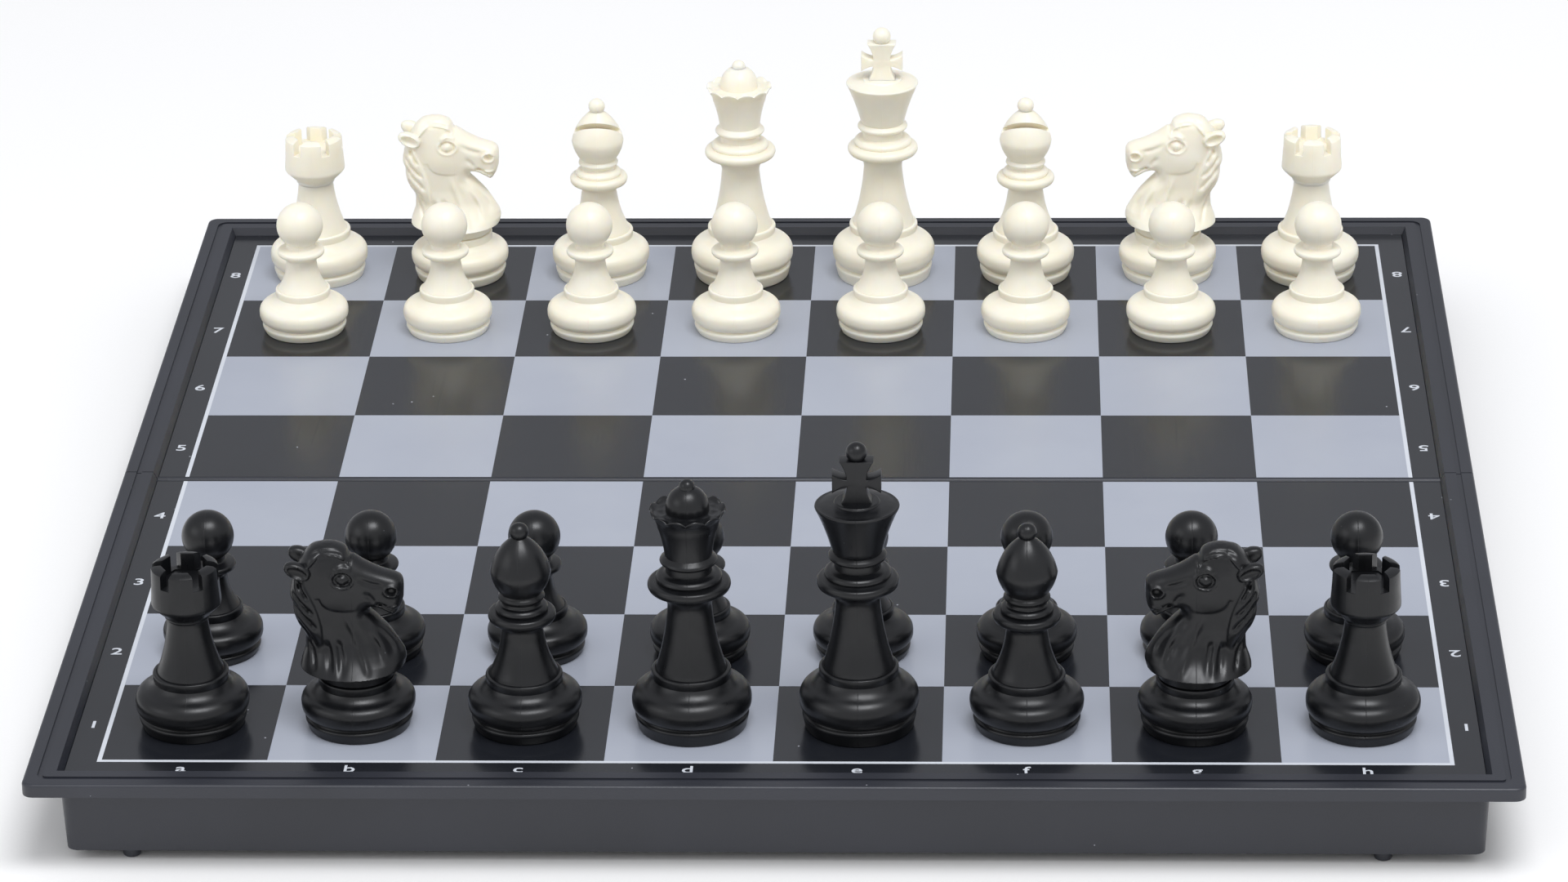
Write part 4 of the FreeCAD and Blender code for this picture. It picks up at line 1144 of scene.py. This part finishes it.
RIDGES = [
    [(-1.6, 28.6), (-0.4, 25.2), (1.2, 21.0), (3.0, 16.6), (3.6, 14.6)],
    [(1.6, 26.4), (4.2, 23.2), (6.2, 19.8), (7.6, 16.4)],
    [(-4.5, 22.2), (-4.0, 19.8), (-3.6, 17.2), (-3.5, 14.4)],
]
HAIR_LINES = [
    [(-9.4, 41.0), (-7.2, 41.9), (-4.4, 42.4), (-2.2, 41.9)],
    [(-7.6, 41.0), (-5.0, 41.7), (-2.6, 41.4), (-1.2, 40.6)],
]
CHEEK_LINES = [
    [(0.8, 36.9), (2.8, 35.4), (5.2, 34.4), (7.2, 34.3)],
    [(2.2, 33.2), (3.6, 31.9), (4.4, 30.8), (4.4, 29.6)],
]
MOUTH = [(4.9, 30.0), (6.6, 29.3), (8.6, 28.5), (10.9, 27.6)]
EYE = (-1.8, 36.0)
NOSTRIL = (8.5, 32.9)


def ring(centre, x, z, radius, width):
    """A ring round a centre, a little wider than it is high."""
    return np.exp(-((np.hypot((x - centre[0]) / 1.15, (z - centre[1]) * 1.15) - radius) / width) ** 2)


def carving(x, z):
    """What is taken off the half thickness, in mm; below 0 where something stands proud."""
    cutting = np.zeros(x.shape)
    for path in LOCKS:
        cutting += groove(path, x, z, 0.42, 0.75, 0.2)
    for path in FOLDS:
        cutting += groove(path, x, z, 0.8, 0.75, 0.35)
    for path in RIDGES:
        cutting -= groove(path, x, z, 0.7, 0.5, 0.3)
    for path in HAIR_LINES:
        cutting += groove(path, x, z, 0.36, 0.8, 0.25)
    for path in CHEEK_LINES:
        cutting += groove(path, x, z, 0.55, 0.5, 0.35)
    cutting += groove(MOUTH, x, z, 0.38, 0.95, 0.15)
    cutting -= groove([(-3.9, 37.6), (-1.9, 38.7), (0.4, 38.0)], x, z, 0.5, 0.65)
    cutting += 0.45 * ring(EYE, x, z, 1.45, 0.35) - 0.3 * ring(EYE, x, z, 2.05, 0.3)
    cutting -= 0.45 * np.exp(-(np.hypot(x - EYE[0], z - EYE[1]) / 0.8) ** 4)
    cutting -= 0.5 * ring(NOSTRIL, x, z, 1.3, 0.35)
    cutting += 0.85 * np.exp(-(np.hypot(x - NOSTRIL[0], z - NOSTRIL[1]) / 0.85) ** 4)
    return cutting


def ear(x, y, z):
    """One leaf-shaped ear lying back along the head, with a hollow in its outer face."""
    axis = Vector((-4.8, 2.2)).normalized()
    dx, dz = x + 11.3, z - 38.1
    u, w = dx * axis.x + dz * axis.y, -dx * axis.y + dz * axis.x
    taper = 1 - 0.2 * step(u, 0.4, 3.2)
    side = np.abs(y) - 4.1
    blunt = 2.6
    leaf = (np.abs(u / 3.0) ** blunt + np.abs(side / 1.6) ** blunt + np.abs(w / (1.8 * taper)) ** blunt) ** (1 / blunt)
    hollow = np.sqrt(((u + 0.1) / 2.4) ** 2 + ((side - 1.6) / 1.35) ** 2 + ((w - 0.1) / (1.3 * taper)) ** 2)
    return np.maximum((leaf - 1) * 1.3, (1 - hollow) * 0.9)


# %% Knight
def build_knight():
    low, high = np.array([-15.0, -11.6, 11.6]), np.array([12.4, 11.6, 45.0])
    counts = np.ceil((high - low) / VOXEL).astype(int)
    xs, ys, zs = [low[i] + VOXEL * np.arange(counts[i]) for i in range(3)]
    x, z = np.meshgrid(xs, zs, indexing="ij")
    field, deep = side_map(x, z)
    taken = carving(x, z) * step(deep, 0.0, 1.6)
    half = np.sqrt(np.maximum(field, 0))
    field = np.where(field > 0, np.maximum(half - taken * np.minimum(1, half / 2.0), 0.05) ** 2, field)
    square, y = field[:, None, :], ys[None, :, None]
    solid = (y * y - square) / (np.abs(y) + np.sqrt(np.maximum(square, 0)) + 1)
    solid = np.minimum(solid, ear(xs[:, None, None], y, zs[None, None, :]))
    solid = np.maximum(solid, HEM_Z - 0.25 - zs[None, None, :])
    volume = openvdb.FloatGrid(5.0)
    volume.copyFromArray(solid.astype(np.float32))
    points, triangles, quads = volume.convertToPolygons(isovalue=0.0)
    points = (points * VOXEL + low) * MM
    faces = [tuple(int(i) for i in face) for face in triangles] + [tuple(int(i) for i in face) for face in quads]
    piece = mesh_piece("knight_head", points, faces, black_plastic, smooth=True)
    head = piece.data
    bpy.data.objects.remove(piece)
    outline = draw_foot("knight")
    outline.line(8.05, FOOT["knight"]["collar_z"] + 0.3)
    outline.line(8.2, HEM_Z + 0.4)
    outline.line(0, HEM_Z + 0.4)
    return joined("knight", [turn("knight", outline, black_plastic), head], black_plastic)


KIND["knight"] = build_knight()
print("knight faces", len(KIND["knight"].polygons))

# %% [markdown]
# ## Pads
# A disc of dark felt fills the hollow under each foot. It hides the magnet and keeps the sheet from being
# scratched. Felt is pressed wool: no thread shows, only short matted fibres about 0.2 mm thick, so its colour
# and height are a fine, soft noise, with a little sheen from the fibre ends.

# %% Pads
PAD_GAP = 0.1
PAD_THICKNESS = 0.26


def make_felt():
    material, tree, shader = new_material("pad_pressed_felt", Roughness=0.95, Sheen_Weight=0.3)
    where = add(tree, "ShaderNodeTexCoord").outputs["Object"]
    fibres = noise(tree, where, 0.2, 4.0, 0.75)
    tree.links.new(ramp(tree, fibres, 0.3, 0.7, linear("#17181b"), linear("#2b2d31")), shader.inputs["Base Color"])
    tree.links.new(bump(tree, fibres, 0.08).outputs["Normal"], shader.inputs["Normal"])
    return material


pad_felt = make_felt()


def build_pad(kind):
    radius = FOOT[kind]["foot"] - PAD_INSET - PAD_GAP
    outline = Outline(0, PAD_DEPTH - PAD_THICKNESS)
    outline.line(radius - 0.1, PAD_DEPTH - PAD_THICKNESS)
    outline.bow(radius, PAD_DEPTH - 0.16, 0.03, 3)
    outline.line(radius, PAD_DEPTH)
    outline.line(0, PAD_DEPTH)
    return joined("pad_" + kind, [turn("pad_" + kind, outline, pad_felt)], pad_felt)


PAD = {kind: build_pad(kind) for kind in KIND}
print("pads for", ", ".join(PAD))

# %% [markdown]
# ## Setting the men out
# Each man's mesh is copied, turned and moved to the middle of its own CAD node. The turn is kept in the mesh,
# so every object stays at the origin. Before the move each point's own place is saved as an attribute, which
# the seam in the plastic reads.

# %% Set the men out
FACING = {"black": 0, "white": 180}
KNIGHT_FACING = {"b": 0, "g": 180}      # a knight looks towards the middle of its own rank


def placed(mesh, name, turn_degrees, place):
    copy = mesh.copy()
    copy.name = name
    if turn_degrees:
        copy.transform(Matrix.Rotation(math.radians(turn_degrees), 4, "Z"))
    copy.transform(Matrix.Translation(place))
    piece = bpy.data.objects.new(name, copy)
    bpy.context.collection.objects.link(piece)
    return piece


def with_own_place(mesh):
    points = np.empty(len(mesh.vertices) * 3, np.float32)
    mesh.vertices.foreach_get("co", points)
    saved = mesh.attributes.new("own_place", "FLOAT_VECTOR", "POINT")
    saved.data.foreach_set("vector", points)


for mesh in KIND.values():
    with_own_place(mesh)

def base_middle(node):
    """The middle of the man's round foot. A knight's head reaches past it, so X comes from its file."""
    low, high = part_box(node)
    file_index = round(middle(node).x / SQUARE + 3.5)
    return Vector(((file_index - 3.5) * SQUARE, (low[1] + high[1]) / 2, low[2]))


def facing(node):
    colour, kind, *file_letter = node.split("_")
    return KNIGHT_FACING[file_letter[0]] if kind == "knight" else FACING[colour]


MEN = [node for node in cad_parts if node.split("_")[0] in FACING]
for node in MEN:
    colour, kind = node.split("_")[:2]
    piece = placed(KIND[kind], node + "_turned", facing(node), base_middle(node))
    piece.data.materials[0] = MEN_PLASTIC[colour]
    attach(piece, "man_" + node)
    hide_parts(node)
    pad = placed(PAD[kind], node + "_pad", 0, base_middle(node))
    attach(pad, "man_" + node)
print("set out", len(MEN), "men, each with its pad")

# %% [markdown]
# ## Floor, light and camera
# The set stands on white paper in a white studio. A broad soft box hangs overhead, a little right of the
# middle and nearer the camera, which puts one soft highlight on every round head. White all round gives the
# black men their bright rims. The paper is lit until it is almost burnt out.

# %% Floor
def make_paper():
    material, tree, shader = new_material("studio_paper_white", Roughness=0.9)
    where = add(tree, "ShaderNodeTexCoord").outputs["Object"]
    fibre = noise(tree, where, 0.8, 4.0, 0.7)
    tree.links.new(ramp(tree, fibre, 0.3, 0.7, linear("#fbfaf8"), linear("#fdfcfa")), shader.inputs["Base Color"])
    tree.links.new(bump(tree, fibre, 0.02).outputs["Normal"], shader.inputs["Normal"])
    return material


paper = make_paper()
FLOOR_HALF = 4.0
ground = min(cad_box[0].z, 0.0)
corners = [(-FLOOR_HALF, -FLOOR_HALF), (FLOOR_HALF, -FLOOR_HALF), (FLOOR_HALF, FLOOR_HALF), (-FLOOR_HALF, FLOOR_HALF)]
floor_mesh = bpy.data.meshes.new("floor")
floor_mesh.from_pydata([(x, y, ground) for x, y in corners], [], [(0, 1, 2, 3)])
floor_mesh.materials.append(paper)
floor = bpy.data.objects.new("floor", floor_mesh)
bpy.context.collection.objects.link(floor)
print("floor at mm", round(ground / MM, 3))

# %% Light
def soft_box(name, place, aim, width, height, watts, colour=(1, 1, 1)):
    lamp = bpy.data.lights.new(name, "AREA")
    lamp.shape = "RECTANGLE"
    lamp.size, lamp.size_y, lamp.energy, lamp.color = width, height, watts, colour
    holder = bpy.data.objects.new(name, lamp)
    holder.location = place
    holder.rotation_euler = (Vector(aim) - Vector(place)).to_track_quat("-Z", "Y").to_euler()
    bpy.context.collection.objects.link(holder)
    return holder


COOL = (0.98, 0.995, 1.03)
soft_box("key", (0.25, -0.62, 1.6), (0, 0, 0), 0.9, 0.6, 16, COOL)
soft_box("fill_left", (-1.7, -0.9, 1.0), (0, 0, 0.02), 1.2, 0.8, 3, COOL)


def studio_world():
    """White walls all round, brighter on the camera's side, and a little cool, as daylight lamps are."""
    world = bpy.data.worlds.new("white_studio")
    world.use_nodes = True
    tree = world.node_tree
    towards = add(tree, "ShaderNodeTexCoord").outputs["Generated"]
    parts = add(tree, "ShaderNodeSeparateXYZ", [("Vector", towards)])
    behind = add(tree, "ShaderNodeMapRange", [("Value", parts.outputs["Y"]), ("From Min", -0.55), ("From Max", 0.75)],
                 interpolation_type="SMOOTHSTEP").outputs["Result"]
    walls = mixed(tree, behind, (0.785, 0.795, 0.82, 1), (0.475, 0.485, 0.515, 1))
    tree.links.new(walls, tree.nodes["Background"].inputs["Color"])
    tree.nodes["Background"].inputs["Strength"].default_value = 1.0
    return world


world = studio_world()
bpy.context.scene.world = world
bpy.context.scene.view_settings.view_transform = "Standard"

# %% Camera
CAMERA_PLACE = (0.0519, -1.2676, PLAYING_Z + 0.5748)
CAMERA_TURN = 2.467
CAMERA_DOWN = 24.0
CAMERA_ROLL = -0.981
lens = bpy.data.cameras.new("camera")
lens.lens = 136.01
lens.clip_start = 0.05
lens.clip_end = 20
camera = bpy.data.objects.new("camera", lens)
camera.matrix_world = (Matrix.Translation(CAMERA_PLACE)
                       @ Matrix.Rotation(math.radians(CAMERA_TURN), 4, "Z")
                       @ Matrix.Rotation(math.radians(90 - CAMERA_DOWN), 4, "X")
                       @ Matrix.Rotation(math.radians(CAMERA_ROLL), 4, "Z"))
bpy.context.collection.objects.link(camera)
bpy.context.scene.camera = camera
print("camera", [round(v, 3) for v in camera.location])

# %% Print the frame's box
print("cad", [[round(c / MM, 2) for c in v] for v in cad_box])
